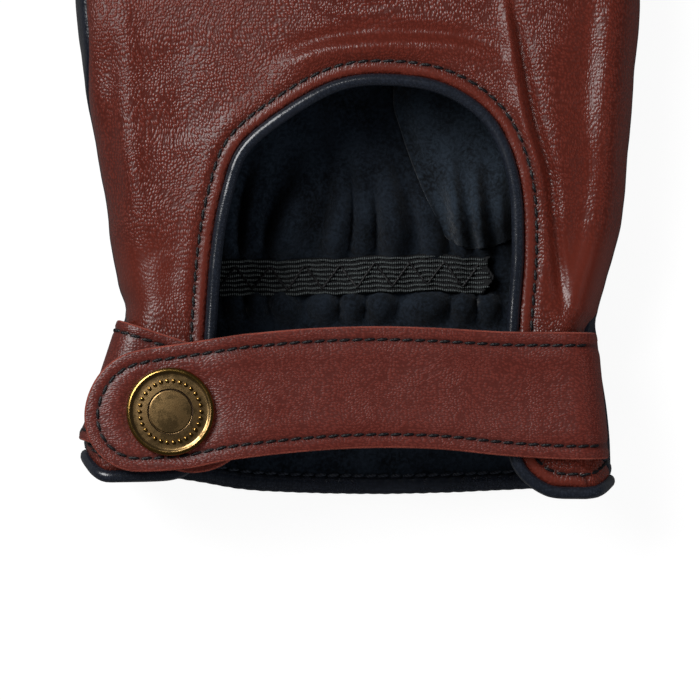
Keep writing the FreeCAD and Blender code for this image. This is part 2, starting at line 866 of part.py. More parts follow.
def build_strap_stitching():
    """Rows all round the strap and the stud tab, as far as each lies flat."""
    inset = size("stitch_inset")
    bend = size("strap_bend") + size("stitch_length")
    top = offset_route(strap_route(), 2 * size("strap_leather"))
    limit = size("strap_root_across") - bend
    cap_centre = Vector(size("stud_across"), size("stud_up"), 0)
    row = Part.Wire(Part.__sortEdges__(strap_outline(inset)))
    bars = stitch_row(
        row,
        lambda p: route_height(top, along_strap(p)),
        lambda p: p.x < limit and (p - cap_centre).Length > size("cap_radius"),
    )
    add("strap_stitching", on_back(Part.makeCompound(bars)))

    row = Part.Wire(Part.__sortEdges__(tab_outline(inset)))
    bars = stitch_row(row, lambda p: height("tab_top"), lambda p: p.x > bend - size("tab_length"))
    add("tab_stitching", on_back(in_tab_frame(Part.makeCompound(bars))))


def build_hand_stitching():
    """The row beside the keyhole and the row of the palm's cuff hem."""
    inset = size("stitch_inset")
    around = keyhole_edges(-inset, size("corner_round") - inset)
    arch = Part.Wire(Part.__sortEdges__(around))
    add("keyhole_stitching", on_back(Part.makeCompound(stitch_row(arch, lambda p: 0.0))))

    y = -size("cuff_reach") + inset
    margin = size("base_round") + size("stitch_pitch") / 2
    ends = [Vector(cuff_side(sign, margin), y, 0) for sign in (LEFT, RIGHT)]
    bars = stitch_row(Part.Wire([line(*ends)]), lambda p: size("leather"))
    add("palm_cuff_stitching", Part.makeCompound(bars))


# ---------------------------------------------------------------- press stud


def sketched(body, role, profile):
    """A closed sketch of straight edges; each corner is a pair of sheet expressions."""
    plane = next(item for item in body.Origin.OriginFeatures if item.Role == role)
    sketch = body.newObject("Sketcher::SketchObject", f"{body.Name}_profile")
    sketch.AttachmentSupport = [(plane, "")]
    sketch.MapMode = "FlatFace"
    points = [Vector(evaluate(first), evaluate(second), 0) for first, second in profile]
    count = len(points)
    for i in range(count):
        sketch.addGeometry(Part.LineSegment(points[i], points[(i + 1) % count]), False)
    for i in range(count):
        sketch.addConstraint(Sketcher.Constraint("Coincident", i, 2, (i + 1) % count, 1))
    for i, corner in enumerate(profile):
        for kind, text in zip(("DistanceX", "DistanceY"), corner):
            at = sketch.addConstraint(Sketcher.Constraint(kind, -1, 1, i, 1, evaluate(text)))
            sketch.setExpression(f"Constraints[{at}]", text)
    return sketch


def build_turned(name, profile):
    """A turned part of the press stud, from pairs of a radius and a height."""
    body = doc.addObject("PartDesign::Body", name)
    turn = body.newObject("PartDesign::Revolution", f"{name}_turned")
    turn.Profile = sketched(body, "XZ_Plane", profile)
    turn.ReferenceAxis = (turn.Profile[0], ["V_Axis"])
    turn.Angle = 360.0
    body.Tip = turn
    body.Placement = stud_placement("0")
    node(body, name)


def stud_placement(above):
    """Where the press stud stands on the back plane, raised by a sheet expression."""
    foot = Vector(size("stud_across"), size("stud_up"), evaluate(above))
    return BACK.multiply(Placement(foot, Rotation()))


def build_press_stud():
    """Post and stud on the tab, and cap, socket and spring ring on the strap."""
    at = HEIGHTS
    hole = "sizes.post_radius + sizes.hole_clearance"
    build_turned("snap_post", [
        ("0", at["post_bottom"]),
        ("sizes.post_flange_radius", at["post_bottom"]),
        ("sizes.post_flange_radius", at["tab_bottom"]),
        ("sizes.post_radius", at["tab_bottom"]),
        ("sizes.post_radius", at["flange_top"]),
        ("0", at["flange_top"]),
    ])
    build_turned("snap_stud", [
        (hole, at["tab_top"]),
        ("sizes.stud_flange_radius", at["tab_top"]),
        ("sizes.stud_flange_radius", at["flange_top"]),
        ("sizes.stud_neck_radius", at["flange_top"]),
        ("sizes.stud_neck_radius", at["neck_top"]),
        ("sizes.stud_head_radius", at["head_bulge"]),
        ("sizes.stud_head_radius", at["head_shoulder"]),
        ("0.7 * sizes.stud_head_radius", at["head_top"]),
        ("0", at["head_top"]),
        ("0", f"{at['flange_top']} + sizes.hole_clearance"),
        (hole, f"{at['flange_top']} + sizes.hole_clearance"),
    ])
    build_turned("snap_socket", [
        (hole, at["socket_ceiling"]),
        ("sizes.socket_bore", at["socket_ceiling"]),
        ("sizes.socket_bore", at["socket_bottom"]),
        ("sizes.socket_radius", at["socket_bottom"]),
        ("sizes.socket_radius", at["strap_bottom"]),
        (hole, at["strap_bottom"]),
    ])
    build_turned("snap_cap", [
        ("0", at["socket_ceiling"]),
        ("sizes.post_radius", at["socket_ceiling"]),
        ("sizes.post_radius", at["strap_top"]),
        ("0.93 * sizes.cap_radius", at["strap_top"]),
        ("sizes.cap_radius", at["cap_edge"]),
        ("0.96 * sizes.cap_radius", at["cap_shoulder"]),
        ("0.85 * sizes.cap_radius", at["cap_top"]),
        ("0", at["cap_top"]),
    ])
    spring = doc.addObject("Part::Torus", "snap_spring")
    spring.setExpression("Radius1", "sizes.socket_bore - sizes.spring_wire - sizes.hole_clearance")
    spring.setExpression("Radius2", "sizes.spring_wire")
    spring.Placement = stud_placement(at["spring_middle"])
    node(spring, "snap_spring")


# ---------------------------------------------------------------- build, check and export


def check():
    """Stops on any object that failed and on any sub-part that is not a valid solid."""
    for item in doc.Objects:
        if "Invalid" in item.State or "Error" in item.State:
            raise SystemExit(f"{item.Label} failed: {item.State}")
    for item in nodes:
        shape = item.Shape
        if shape.isNull() or not shape.isValid() or not shape.Solids:
            raise SystemExit(f"{item.Label} has no valid solid")
        if min(solid.Volume for solid in shape.Solids) <= 0:
            raise SystemExit(f"{item.Label} holds an inside-out solid")


build_panels()
build_thumb()
build_gusset()
build_elastic()
build_piping()
build_palm_binding()
build_strap()
build_strap_stitching()
build_hand_stitching()
build_press_stud()
doc.recompute()
check()
os.makedirs("parts", exist_ok=True)
for item in nodes:
    solids = item.Shape.Solids
    shape = solids[0] if len(solids) == 1 else Part.makeCompound(solids)
    shape.exportStep(f"parts/{item.Label}.step")
    print(f"{item.Label}: {len(solids)} solid(s), {shape.Volume:.1f} mm3")
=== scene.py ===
"""A left-hand leather driving glove lying on its palm.

Brown leather back with a keyhole opening and four knuckle holes, navy palm, and a wrist strap that
closes over a stud tab with a press stud. Lengths in the classes are millimetres in the part's own
frame: +Y along the fingers, +X towards the thumb, +Z up out of the back of the hand.
"""
import logging
import math
from dataclasses import dataclass, field
from enum import Enum
from typing import Callable, ClassVar, Sequence

import bmesh
import bpy
import numpy as np
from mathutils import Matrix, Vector, noise
from mathutils.geometry import delaunay_2d_cdt


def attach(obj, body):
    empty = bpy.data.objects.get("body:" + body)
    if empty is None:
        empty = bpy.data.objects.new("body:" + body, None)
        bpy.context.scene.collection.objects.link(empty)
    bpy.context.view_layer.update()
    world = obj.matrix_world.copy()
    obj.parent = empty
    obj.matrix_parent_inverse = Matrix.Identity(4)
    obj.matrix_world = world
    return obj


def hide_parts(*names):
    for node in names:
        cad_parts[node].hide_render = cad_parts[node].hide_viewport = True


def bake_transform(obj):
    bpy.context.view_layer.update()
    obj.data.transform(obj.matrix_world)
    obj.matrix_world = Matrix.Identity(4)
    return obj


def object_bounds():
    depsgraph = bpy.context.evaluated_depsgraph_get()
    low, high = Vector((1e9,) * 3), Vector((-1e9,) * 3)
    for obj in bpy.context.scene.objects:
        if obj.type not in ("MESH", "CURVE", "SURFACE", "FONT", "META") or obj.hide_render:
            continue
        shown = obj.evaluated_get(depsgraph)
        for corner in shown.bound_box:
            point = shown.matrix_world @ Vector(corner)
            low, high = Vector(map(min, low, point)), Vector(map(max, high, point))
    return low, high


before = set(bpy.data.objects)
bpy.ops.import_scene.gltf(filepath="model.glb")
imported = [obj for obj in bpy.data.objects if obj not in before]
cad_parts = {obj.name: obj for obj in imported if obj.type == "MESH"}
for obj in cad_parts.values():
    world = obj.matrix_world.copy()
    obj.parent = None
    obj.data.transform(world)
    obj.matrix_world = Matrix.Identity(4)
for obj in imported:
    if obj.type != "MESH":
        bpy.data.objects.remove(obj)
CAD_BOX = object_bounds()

log = logging.getLogger("driving_glove")
MM = 0.001
Grid = np.ndarray
Colour = tuple[int, int, int]
Socket = bpy.types.NodeSocket


class Body(Enum):
    """Moving bodies of the part."""

    GLOVE = "glove"
    STRAP = "strap"
    TAB = "stud_tab"


class Slot(Enum):
    """Material slots of the record, named with each piece; the pieces take their finish from the
    materials built here.
    """

    BACK = "back_leather"
    PALM = "palm_leather"
    LINING = "strap_lining_leather"
    BRASS = "antique_brass"
    ELASTIC = "elastic_tape"
    DARK_THREAD = "dark_thread"
    NAVY_THREAD = "navy_thread"


# ---- plane geometry


def ease(low: float, high: float, value: Grid) -> Grid:
    """Smooth step from 0 at low to 1 at high."""
    t = np.clip((np.asarray(value, float) - low) / (high - low), 0.0, 1.0)
    return t * t * (3.0 - 2.0 * t)


def bump(distance: Grid, width: float) -> Grid:
    """Soft bell of height 1 at distance 0."""
    return np.exp(-((distance / width) ** 2))


def direction(angle: float) -> Grid:
    """Unit vector at an angle in degrees from +Y, turned towards +X."""
    return np.array([math.sin(math.radians(angle)), math.cos(math.radians(angle))])


def right_of(along: Grid) -> Grid:
    """The direction a quarter turn clockwise."""
    return np.array([along[1], -along[0]])


def curve(points: Sequence[Sequence[float]], step: float, closed: bool = False) -> Grid:
    """A smooth line through a few points.

    Args:
        points: places that the line passes through.
        step: distance between the points of the result.
        closed: whether the line returns to its start.

    Returns:
        Points along the line, one row each.
    """
    p = np.asarray(points, float)
    if closed:
        padded = np.vstack([p[-1:], p, p[:2]])
    else:
        padded = np.vstack([2 * p[:1] - p[1:2], p, 2 * p[-1:] - p[-2:-1]])
    rows = []
    for a, b, c, d in zip(padded, padded[1:], padded[2:], padded[3:]):
        count = max(1, int(round(np.linalg.norm(c - b) / step)))
        t = (np.arange(count) / count)[:, None]
        rows.append(b + 0.5 * t * (c - a + t * (2 * a - 5 * b + 4 * c - d
                                                + t * (3 * b - a - 3 * c + d))))
    if not closed:
        rows.append(p[-1:])
    return np.vstack(rows)


def even(line: Grid, step: float, closed: bool = False) -> Grid:
    """The same line with evenly spaced points.

    Args:
        line: points of the line.
        step: distance between the points of the result.
        closed: whether the line returns to its start.

    Returns:
        The points, one row each.
    """
    path = np.vstack([line, line[:1]]) if closed else line
    run = np.concatenate([[0.0], np.cumsum(np.linalg.norm(np.diff(path, axis=0), axis=1))])
    count = max(2, int(round(run[-1] / step)))
    at = np.linspace(0.0, run[-1], count + 1)
    spaced = np.stack([np.interp(at, run, path[:, k]) for k in range(path.shape[1])], axis=1)
    return spaced[:-1] if closed else spaced


def tangents(line: Grid, closed: bool = False) -> Grid:
    """Unit directions along a line.

    Args:
        line: points of the line.
        closed: whether the line returns to its start.

    Returns:
        The directions, one row each.
    """
    if closed:
        run = np.roll(line, -1, axis=0) - np.roll(line, 1, axis=0)
    else:
        run = np.gradient(line, axis=0)
    return run / np.maximum(np.linalg.norm(run, axis=1, keepdims=True), 1e-9)


def beside(line: Grid, distance: "float | Grid", closed: bool = False) -> Grid:
    """A plane line moved to its left by a distance.

    Args:
        line: points of the line.
        distance: how far to the left, one value or one for each point.
        closed: whether the line returns to its start.

    Returns:
        The moved points.
    """
    run = tangents(line, closed)
    left = np.stack([-run[:, 1], run[:, 0]], axis=1)
    return line + left * np.reshape(distance, (-1, 1))


def distance_to(points: Grid, line: Grid, closed: bool = False) -> tuple[Grid, Grid]:
    """Distance of each point from a plane line.

    Args:
        points: places in the plane.
        line: points of the line.
        closed: whether the line returns to its start.

    Returns:
        The distances, and how far along the line the nearest place lies, from 0 to 1.
    """
    path = np.vstack([line, line[:1]]) if closed else line
    best = np.full(len(points), 1e9)
    along = np.zeros(len(points))
    runs = np.linalg.norm(np.diff(path, axis=0), axis=1)
    total, done = max(runs.sum(), 1e-9), 0.0
    for a, b, length in zip(path, path[1:], runs):
        run = b - a
        t = np.clip(((points - a) @ run) / max(length * length, 1e-12), 0.0, 1.0)
        gap = np.hypot(points[:, 0] - a[0] - t * run[0], points[:, 1] - a[1] - t * run[1])
        nearer = gap < best
        best[nearer] = gap[nearer]
        along[nearer] = (done + t[nearer] * length) / total
        done += length
    return best, along


def inside(points: Grid, ring: Grid) -> Grid:
    """Whether each point lies inside a closed ring.

    Args:
        points: places in the plane.
        ring: the closed ring.

    Returns:
        True for each place inside.
    """
    hit = np.zeros(len(points), bool)
    x, y = points[:, 0], points[:, 1]
    for (ax, ay), (bx, by) in zip(ring, np.roll(ring, -1, axis=0)):
        if ay == by:
            continue
        crosses = ((ay > y) != (by > y)) & (x < (bx - ax) * (y - ay) / (by - ay) + ax)
        hit ^= crosses
    return hit


def fill(rings: Sequence[Grid], step: float) -> tuple[Grid, Grid]:
    """An even net of triangles inside a ring, with holes left open.

    Args:
        rings: the outer ring, then each hole.
        step: size of the net.

    Returns:
        The points, those of the rings first and in order, and the triangles seen from above.
    """
    border = np.vstack(rings)
    edges, start = [], 0
    for ring in rings:
        count = len(ring)
        edges += [(start + k, start + (k + 1) % count) for k in range(count)]
        start += count
    low, high = border.min(axis=0), border.max(axis=0)
    rise = step * math.sqrt(0.75)
    rows = []
    for k, y in enumerate(np.arange(low[1] + rise / 2, high[1], rise)):
        x = np.arange(low[0] + (step / 2 if k % 2 else 0.0), high[0], step)
        rows.append(np.stack([x, np.full_like(x, y)], axis=1))
    net = np.vstack(rows)
    net = net[inside(net, rings[0])]
    for ring in rings:
        if ring is not rings[0]:
            net = net[~inside(net, ring)]
        net = net[distance_to(net, ring, closed=True)[0] > 0.6 * step]
    points = np.vstack([border, net])
    found, _, faces, origin, _, _ = delaunay_2d_cdt(
        [Vector(p) for p in points], edges, [], 0, 1e-7)
    if not all(origin):
        crossed = [tuple(round(c, 1) for c in v) for v, names in zip(found, origin) if not names]
        raise ValueError(f"the rings of a panel cross each other at {crossed[:6]}")
    back = np.array([names[0] for names in origin])
    triangles = back[np.array([face for face in faces if len(face) == 3])]
    a, b, c = (points[triangles[:, k]] for k in range(3))
    middle = (a + b + c) / 3.0
    keep = inside(middle, rings[0])
    for ring in rings[1:]:
        keep &= ~inside(middle, ring)
    area = np.cross(b - a, c - a)
    keep &= np.abs(area) > 1e-9
    triangles, area = triangles[keep], area[keep]
    triangles[area < 0] = triangles[area < 0][:, ::-1]
    return points, triangles


def ripple(points: Grid, size: float, seed: float) -> Grid:
    """Seeded soft unevenness from -1 to 1 with features of a size."""
    return np.array([noise.noise(Vector((x / size, y / size, seed))) for x, y in points[:, :2]])


def level(plan: Grid) -> Grid:
    """The relief of a face that stays flat."""
    return np.zeros(len(plan))


def facing_up(count: int) -> Grid:
    """Upward directions, one row each."""
    return np.tile([0.0, 0.0, 1.0], (count, 1))


def signed_area(ring: Grid) -> float:
    """Area of a ring, positive where it runs counterclockwise."""
    x, y = ring[:, 0], ring[:, 1]
    return float(np.sum(x * np.roll(y, -1) - np.roll(x, -1) * y) / 2)


def clockwise(ring: Grid) -> Grid:
    """The same ring, run clockwise."""
    return ring if signed_area(ring) < 0 else ring[::-1]


# ---- mesh helpers


@dataclass
class Shell:
    """Points and faces that grow into one mesh."""

    points: list[Grid] = field(default_factory=list)
    faces: list[tuple[int, ...]] = field(default_factory=list)
    paints: list[int] = field(default_factory=list)
    marks: dict[str, list[tuple[Grid, Grid]]] = field(default_factory=dict)
    count: int = 0

    def add(self, rows: Grid) -> Grid:
        """Adds points and returns their numbers."""
        self.points.append(np.asarray(rows, float))
        numbers = np.arange(self.count, self.count + len(rows))
        self.count += len(rows)
        return numbers

    def mark(self, name: str, numbers: Grid, shares: Grid) -> None:
        """Notes shares from 0 to 1 on some points, for the materials to read."""
        self.marks.setdefault(name, []).append((numbers, shares))

    def face(self, faces: Sequence[Sequence[int]], paint: int = 0) -> None:
        """Adds faces that share one material."""
        self.faces += [tuple(int(k) for k in face) for face in faces]
        self.paints += [paint] * len(faces)

    def strip(self, first: Grid, second: Grid, closed: bool = False, paint: int = 0) -> None:
        """Joins two rows of points with a band of quads.

        Args:
            first: numbers of one row.
            second: numbers of the other row.
            closed: whether the rows return to their start.
            paint: number of the material.
        """
        a, b = list(first), list(second)
        if closed:
            a, b = a + a[:1], b + b[:1]
        self.face([(a[k], a[k + 1], b[k + 1], b[k]) for k in range(len(a) - 1)], paint)

    def grow(self, first: Grid, rows: Sequence[Grid], flip: bool = False) -> None:
        """Adds rows of points, each joined to the one before.

        Args:
            first: numbers of the row that they start from.
            rows: places of the following rows.
            flip: whether the faces look the other way.
        """
        last = first
        for row in rows:
            following = self.add(row)
            self.strip(*((following, last) if flip else (last, following)))
            last = following

    def join(self, rows: Grid, faces: Sequence[Sequence[int]]) -> None:
        """Adds a ready-made piece: its points and the faces between them."""
        start = int(self.add(rows)[0])
        self.face([tuple(corner + start for corner in face) for face in faces])

    def build(self, name: str, paints: Sequence[bpy.types.Material]) -> bpy.types.Object:
        """Makes the object.

        Args:
            name: the object's name.
            paints: its materials, in the order of the faces' numbers.

        Returns:
            The new object, at the origin, smooth shaded.
        """
        mesh = bpy.data.meshes.new(name)
        places = np.vstack(self.points) * MM
        mesh.from_pydata([tuple(p) for p in places], [], self.faces)
        for paint in paints:
            mesh.materials.append(paint)
        mesh.polygons.foreach_set("material_index", self.paints)
        mesh.polygons.foreach_set("use_smooth", [True] * len(mesh.polygons))
        for mark, parts in self.marks.items():
            values = np.zeros(self.count)
            for numbers, shares in parts:
                values[numbers] = shares
            mesh.attributes.new(mark, "FLOAT", "POINT").data.foreach_set("value", values)
        mesh.update()
        piece = bpy.data.objects.new(name, mesh)
        bpy.context.scene.collection.objects.link(piece)
        return piece


def active(piece: bpy.types.Object) -> None:
    """Makes a piece the only selected one."""
    bpy.ops.object.select_all(action="DESELECT")
    piece.select_set(True)
    bpy.context.view_layer.objects.active = piece


def tidy(piece: bpy.types.Object, closed: bool = True, merge: float = 1e-6) -> None:
    """Cleans a mesh made row by row.

    Args:
        piece: the piece; its loose points are dropped.
        closed: whether it is a closed body, whose doubles are merged and faces turned outwards.
        merge: how near two points count as one, in metres.
    """
    made = bmesh.new()
    made.from_mesh(piece.data)
    if closed:
        bmesh.ops.remove_doubles(made, verts=made.verts, dist=merge)
    loose = [v for v in made.verts if not v.link_faces]
    bmesh.ops.delete(made, geom=loose, context="VERTS")
    if closed:
        bmesh.ops.recalc_face_normals(made, faces=made.faces)
    made.to_mesh(piece.data)
    made.free()


def thicken(piece: bpy.types.Object, thickness: float, inner: int, rim: int) -> None:
    """Gives a leather skin its thickness, towards its inside.

    Args:
        piece: the skin, with its faces pointing outwards.
        thickness: in millimetres.
        inner: how many materials further on the inside is.
        rim: how many materials further on the cut rim is.
    """
    active(piece)
    wall = piece.modifiers.new("wall", "SOLIDIFY")
    wall.thickness = thickness * MM
    wall.offset = -1.0
    wall.use_even_offset = False
    wall.material_offset = inner
    wall.material_offset_rim = rim
    bpy.ops.object.modifier_apply(modifier="wall")


def sweep(path: Grid, outward: Grid, section: Grid, closed: bool = False,
          taper: float = 0.0) -> Shell:
    """A bar of constant section along a path.

    Args:
        path: places along the bar's middle.
        outward: direction at each place that the section's second axis takes.
        section: ring of the section, first number sideways, second outwards.
        closed: whether the path returns to its start.
        taper: how much smaller the bar's rounded ends become, from 0 to 1.

    Returns:
        The bar, closed at both ends where the path is open.
    """
    along = tangents(path, closed)
    up = outward - along * np.sum(outward * along, axis=1, keepdims=True)
    up /= np.maximum(np.linalg.norm(up, axis=1, keepdims=True), 1e-9)
    across = np.cross(along, up)
    scale = np.ones(len(path))
    if taper and not closed:
        scale[0] = scale[-1] = 1.0 - taper
    shell = Shell()
    rows = []
    for k in range(len(path)):
        ring = path[k] + scale[k] * (section[:, :1] * across[k] + section[:, 1:] * up[k])
        rows.append(shell.add(ring))
    for first, second in zip(rows, rows[1:]):
        shell.strip(first, second, closed=True)
    if closed:
        shell.strip(rows[-1], rows[0], closed=True)
    else:
        shell.face([tuple(rows[0])])
        shell.face([tuple(rows[-1][::-1])])
    return shell


def oval(half_width: float, half_height: float, count: int = 14) -> Grid:
    """Ring of an oval section."""
    turn = np.linspace(0.0, 2 * math.pi, count, endpoint=False)
    return np.stack([half_width * np.cos(turn), half_height * np.sin(turn)], axis=1)


# ---- finishes


def tint(red: int, green: int, blue: int) -> tuple[float, float, float, float]:
    """Linear colour of a screen colour.

    Args:
        red: red share, 0 to 255.
        green: green share.
        blue: blue share.

    Returns:
        The colour with its alpha.
    """
    def linear(value: int) -> float:
        share = value / 255.0
        return share / 12.92 if share <= 0.04045 else ((share + 0.055) / 1.055) ** 2.4
    return (linear(red), linear(green), linear(blue), 1.0)


class Bench:
    """Node bench of one material."""

    def __init__(self, name: str) -> None:
        """Starts a material with an empty tree and one shader."""
        self.paint = bpy.data.materials.new(name)
        self.paint.use_nodes = True
        self.tree = self.paint.node_tree
        self.tree.nodes.clear()
        self.shader = self.tree.nodes.new("ShaderNodeBsdfPrincipled")
        self.out = self.tree.nodes.new("ShaderNodeOutputMaterial")
        self.link(self.shader.outputs[0], self.out.inputs["Surface"])
        self.place = self.tree.nodes.new("ShaderNodeTexCoord").outputs["Object"]

    def link(self, source: Socket, target: Socket) -> None:
        """Joins two sockets."""
        self.tree.links.new(source, target)

    def set(self, **values: object) -> None:
        """Sets plain values on the shader; underscores stand for spaces."""
        for key, value in values.items():
            self.shader.inputs[key.replace("_", " ")].default_value = value

    def warped(self, size: float, amount: float) -> Socket:
        """Object coordinates pushed about by a soft noise.

        Args:
            size: size of the noise in millimetres.
            amount: how far it pushes, in millimetres.

        Returns:
            The coordinates.
        """
        drift = self.tree.nodes.new("ShaderNodeTexNoise")
        drift.inputs["Scale"].default_value = 1000.0 / size
        drift.inputs["Detail"].default_value = 1.0
        self.link(self.place, drift.inputs["Vector"])
        centred = self.tree.nodes.new("ShaderNodeVectorMath")
        centred.operation = "SUBTRACT"
        centred.inputs[1].default_value = (0.5, 0.5, 0.5)
        self.link(drift.outputs["Color"], centred.inputs[0])
        push = self.tree.nodes.new("ShaderNodeVectorMath")
        push.operation = "MULTIPLY_ADD"
        push.inputs[1].default_value = (amount * MM * 2,) * 3
        self.link(centred.outputs[0], push.inputs[0])
        self.link(self.place, push.inputs[2])
        return push.outputs[0]

    def clouds(self, size: float, detail: float = 2.0, rough: float = 0.5,
               place: "Socket | None" = None) -> Socket:
        """Noise of a size in millimetres.

        Args:
            size: size of its features.
            detail: number of octaves.
            rough: strength of the finer octaves.
            place: coordinates that it reads, the object's own if none.

        Returns:
            The noise, 0 to 1.
        """
        node = self.tree.nodes.new("ShaderNodeTexNoise")
        node.inputs["Scale"].default_value = 1000.0 / size
        node.inputs["Detail"].default_value = detail
        node.inputs["Roughness"].default_value = rough
        self.link(place or self.place, node.inputs["Vector"])
        return node.outputs["Fac"]

    def pebbles(self, size: float, place: "Socket | None" = None,
                spread: float = 0.7) -> Socket:
        """Rounded cells of a size in millimetres: 0 on their tops, higher in their valleys.

        Args:
            size: size of a cell.
            place: coordinates that it reads, the object's own if none.
            spread: how uneven the cells lie.

        Returns:
            The distance from the nearest cell.
        """
        node = self.tree.nodes.new("ShaderNodeTexVoronoi")
        node.feature = "SMOOTH_F1"
        node.inputs["Smoothness"].default_value = 0.25
        node.inputs["Scale"].default_value = 1000.0 / size
        node.inputs["Randomness"].default_value = spread
        self.link(place or self.place, node.inputs["Vector"])
        return node.outputs["Distance"]

    def stretched(self, place: Socket, scale: tuple[float, float, float]) -> Socket:
        """Coordinates scaled along their axes."""
        node = self.tree.nodes.new("ShaderNodeMapping")
        node.inputs["Scale"].default_value = scale
        self.link(place, node.inputs["Vector"])
        return node.outputs[0]

    def span(self, value: Socket, low: float, high: float, to_low: float = 0.0,
             to_high: float = 1.0, smooth: bool = True) -> Socket:
        """Maps one range of a value to another.

        Args:
            value: the value.
            low: start of its range.
            high: end of its range.
            to_low: start of the new range.
            to_high: end of the new range.
            smooth: whether the ends are eased.

        Returns:
            The mapped value.
        """
        node = self.tree.nodes.new("ShaderNodeMapRange")
        node.interpolation_type = "SMOOTHSTEP" if smooth else "LINEAR"
        for key, number in (("From Min", low), ("From Max", high), ("To Min", to_low),
                            ("To Max", to_high)):
            node.inputs[key].default_value = number
        self.link(value, node.inputs["Value"])
        return node.outputs[0]

    def marked(self, name: str) -> Socket:
        """Shares noted on the mesh, 0 where there are none."""
        node = self.tree.nodes.new("ShaderNodeAttribute")
        node.attribute_name = name
        return node.outputs["Fac"]

    def product(self, first: Socket, second: Socket) -> Socket:
        """first times second.

        Args:
            first: one factor.
            second: the other factor.

        Returns:
            The product.
        """
        node = self.tree.nodes.new("ShaderNodeMath")
        node.operation = "MULTIPLY"
        self.link(first, node.inputs[0])
        self.link(second, node.inputs[1])
        return node.outputs[0]

    def sum(self, first: Socket, second: Socket, share: float) -> Socket:
        """second times share, plus first.

        Args:
            first: what is added to.
            second: what is added.
            share: how much of it.

        Returns:
            The sum.
        """
        node = self.tree.nodes.new("ShaderNodeMath")
        node.operation = "MULTIPLY_ADD"
        self.link(second, node.inputs[0])
        node.inputs[1].default_value = share
        self.link(first, node.inputs[2])
        return node.outputs[0]

    def mix(self, share: Socket, first: object, second: object) -> Socket:
        """Mixes two colours, each a plain colour or a socket.

        Args:
            share: 0 for the first colour, 1 for the second.
            first: a colour.
            second: a colour.

        Returns:
            The mixed colour.
        """
        node = self.tree.nodes.new("ShaderNodeMix")
        node.data_type = "RGBA"
        self.link(share, node.inputs["Factor"])
        for socket, value in ((node.inputs[6], first), (node.inputs[7], second)):
            if isinstance(value, Socket):
                self.link(value, socket)
            else:
                socket.default_value = value
        return node.outputs[2]

    def emboss(self, height: Socket, depth: float) -> None:
        """Bumps the shader by a height; depth is in millimetres.

        Args:
            height: the height, about 0 to 1.
            depth: what a height of 1 stands for.
        """
        node = self.tree.nodes.new("ShaderNodeBump")
        node.inputs["Distance"].default_value = depth * MM
        self.link(height, node.inputs["Height"])
        self.link(node.outputs[0], self.shader.inputs["Normal"])

    def colour(self, value: Socket) -> None:
        """Links the base colour."""
        self.link(value, self.shader.inputs["Base Color"])

    def roughness(self, value: Socket) -> None:
        """Links the roughness."""
        self.link(value, self.shader.inputs["Roughness"])


@dataclass(frozen=True)
class Leather:
    """Grain leather: pebbles, fine creases, and painted shade in the valleys and along the
    stitches.
    """

    name: str
    painted_shade: Colour
    middle: Colour
    light: Colour
    pebble: float = 0.54
    depth: float = 0.12
    gloss_low: float = 0.33
    gloss_high: float = 0.42
    specular: float = 0.36
    stretch: tuple[float, float, float] = (1.0, 1.0, 1.0)
    drawn: Colour = (30, 33, 42)

    def make(self) -> bpy.types.Material:
        """Builds the material.

        Returns:
            The material.
        """
        bench = Bench(self.name)
        place = bench.stretched(bench.warped(9.0, 1.8), self.stretch)
        cells = bench.span(bench.pebbles(self.pebble, place), 0.75, 0.05)
        coarse = bench.span(bench.clouds(self.pebble * 2.6, 2.0, 0.5, place), 0.3, 0.7)
        fine = bench.clouds(self.pebble * 0.5, 1.0)
        height = bench.sum(bench.sum(cells, coarse, 0.22), fine, 0.06)
        patches = bench.span(bench.clouds(26.0, 3.0), 0.3, 0.7)
        worn = bench.span(bench.clouds(5.0, 2.0), 0.35, 0.75)
        ground = bench.mix(patches, tint(*self.middle), tint(*self.light))
        ground = bench.mix(bench.span(worn, 0.0, 1.0, 0.0, 0.35), ground, tint(*self.middle))
        drawn, seam = bench.marked("drawn"), bench.marked("seam")
        # painted shade: the pebbles' valleys take the darker colour
        grain = bench.mix(bench.span(cells, 0.0, 0.8, 0.5), tint(*self.painted_shade), ground)
        ground = bench.mix(bench.span(drawn, 0.0, 1.0, 0.0, 0.8, False), grain, tint(*self.drawn))
        # painted shadow: the colour darkens along the stitches' groove
        bench.colour(bench.mix(bench.span(seam, 0.1, 1.0, 0.0, 0.75), ground, tint(*self.painted_shade)))
        gloss = bench.span(patches, 0.0, 1.0, self.gloss_low, self.gloss_high)
        bench.roughness(bench.sum(gloss, drawn, -0.05))
        height = bench.product(height, bench.span(drawn, 0.0, 1.0, 1.0, 0.1, False))
        height = bench.product(height, bench.span(patches, 0.0, 1.0, 0.65, 1.1))
        bench.set(Specular_IOR_Level=self.specular)
        bench.emboss(height, self.depth)
        return bench.paint


@dataclass(frozen=True)
class Suede:
    """The napped inner side of leather, or its raw cut edge."""

    name: str
    dark: Colour
    light: Colour
    sheen: float = 0.25
    nap: float = 0.6

    def make(self) -> bpy.types.Material:
        """Builds the material.

        Returns:
            The material.
        """
        bench = Bench(self.name)
        place = bench.warped(1.6, 0.5)
        nap = bench.clouds(self.nap, 3.0, 0.65, place)
        brushed = bench.clouds(7.0, 3.0, 0.6)
        share = bench.sum(bench.span(brushed, 0.3, 0.7, 0.0, 0.6), bench.span(nap, 0.35, 0.7), 0.7)
        bench.colour(bench.mix(share, tint(*self.dark), tint(*self.light)))
        bench.set(Roughness=0.95, Specular_IOR_Level=0.15, Sheen_Weight=self.sheen,
                  Sheen_Roughness=0.45)
        bench.emboss(bench.sum(nap, brushed, 0.8), 0.2)
        return bench.paint


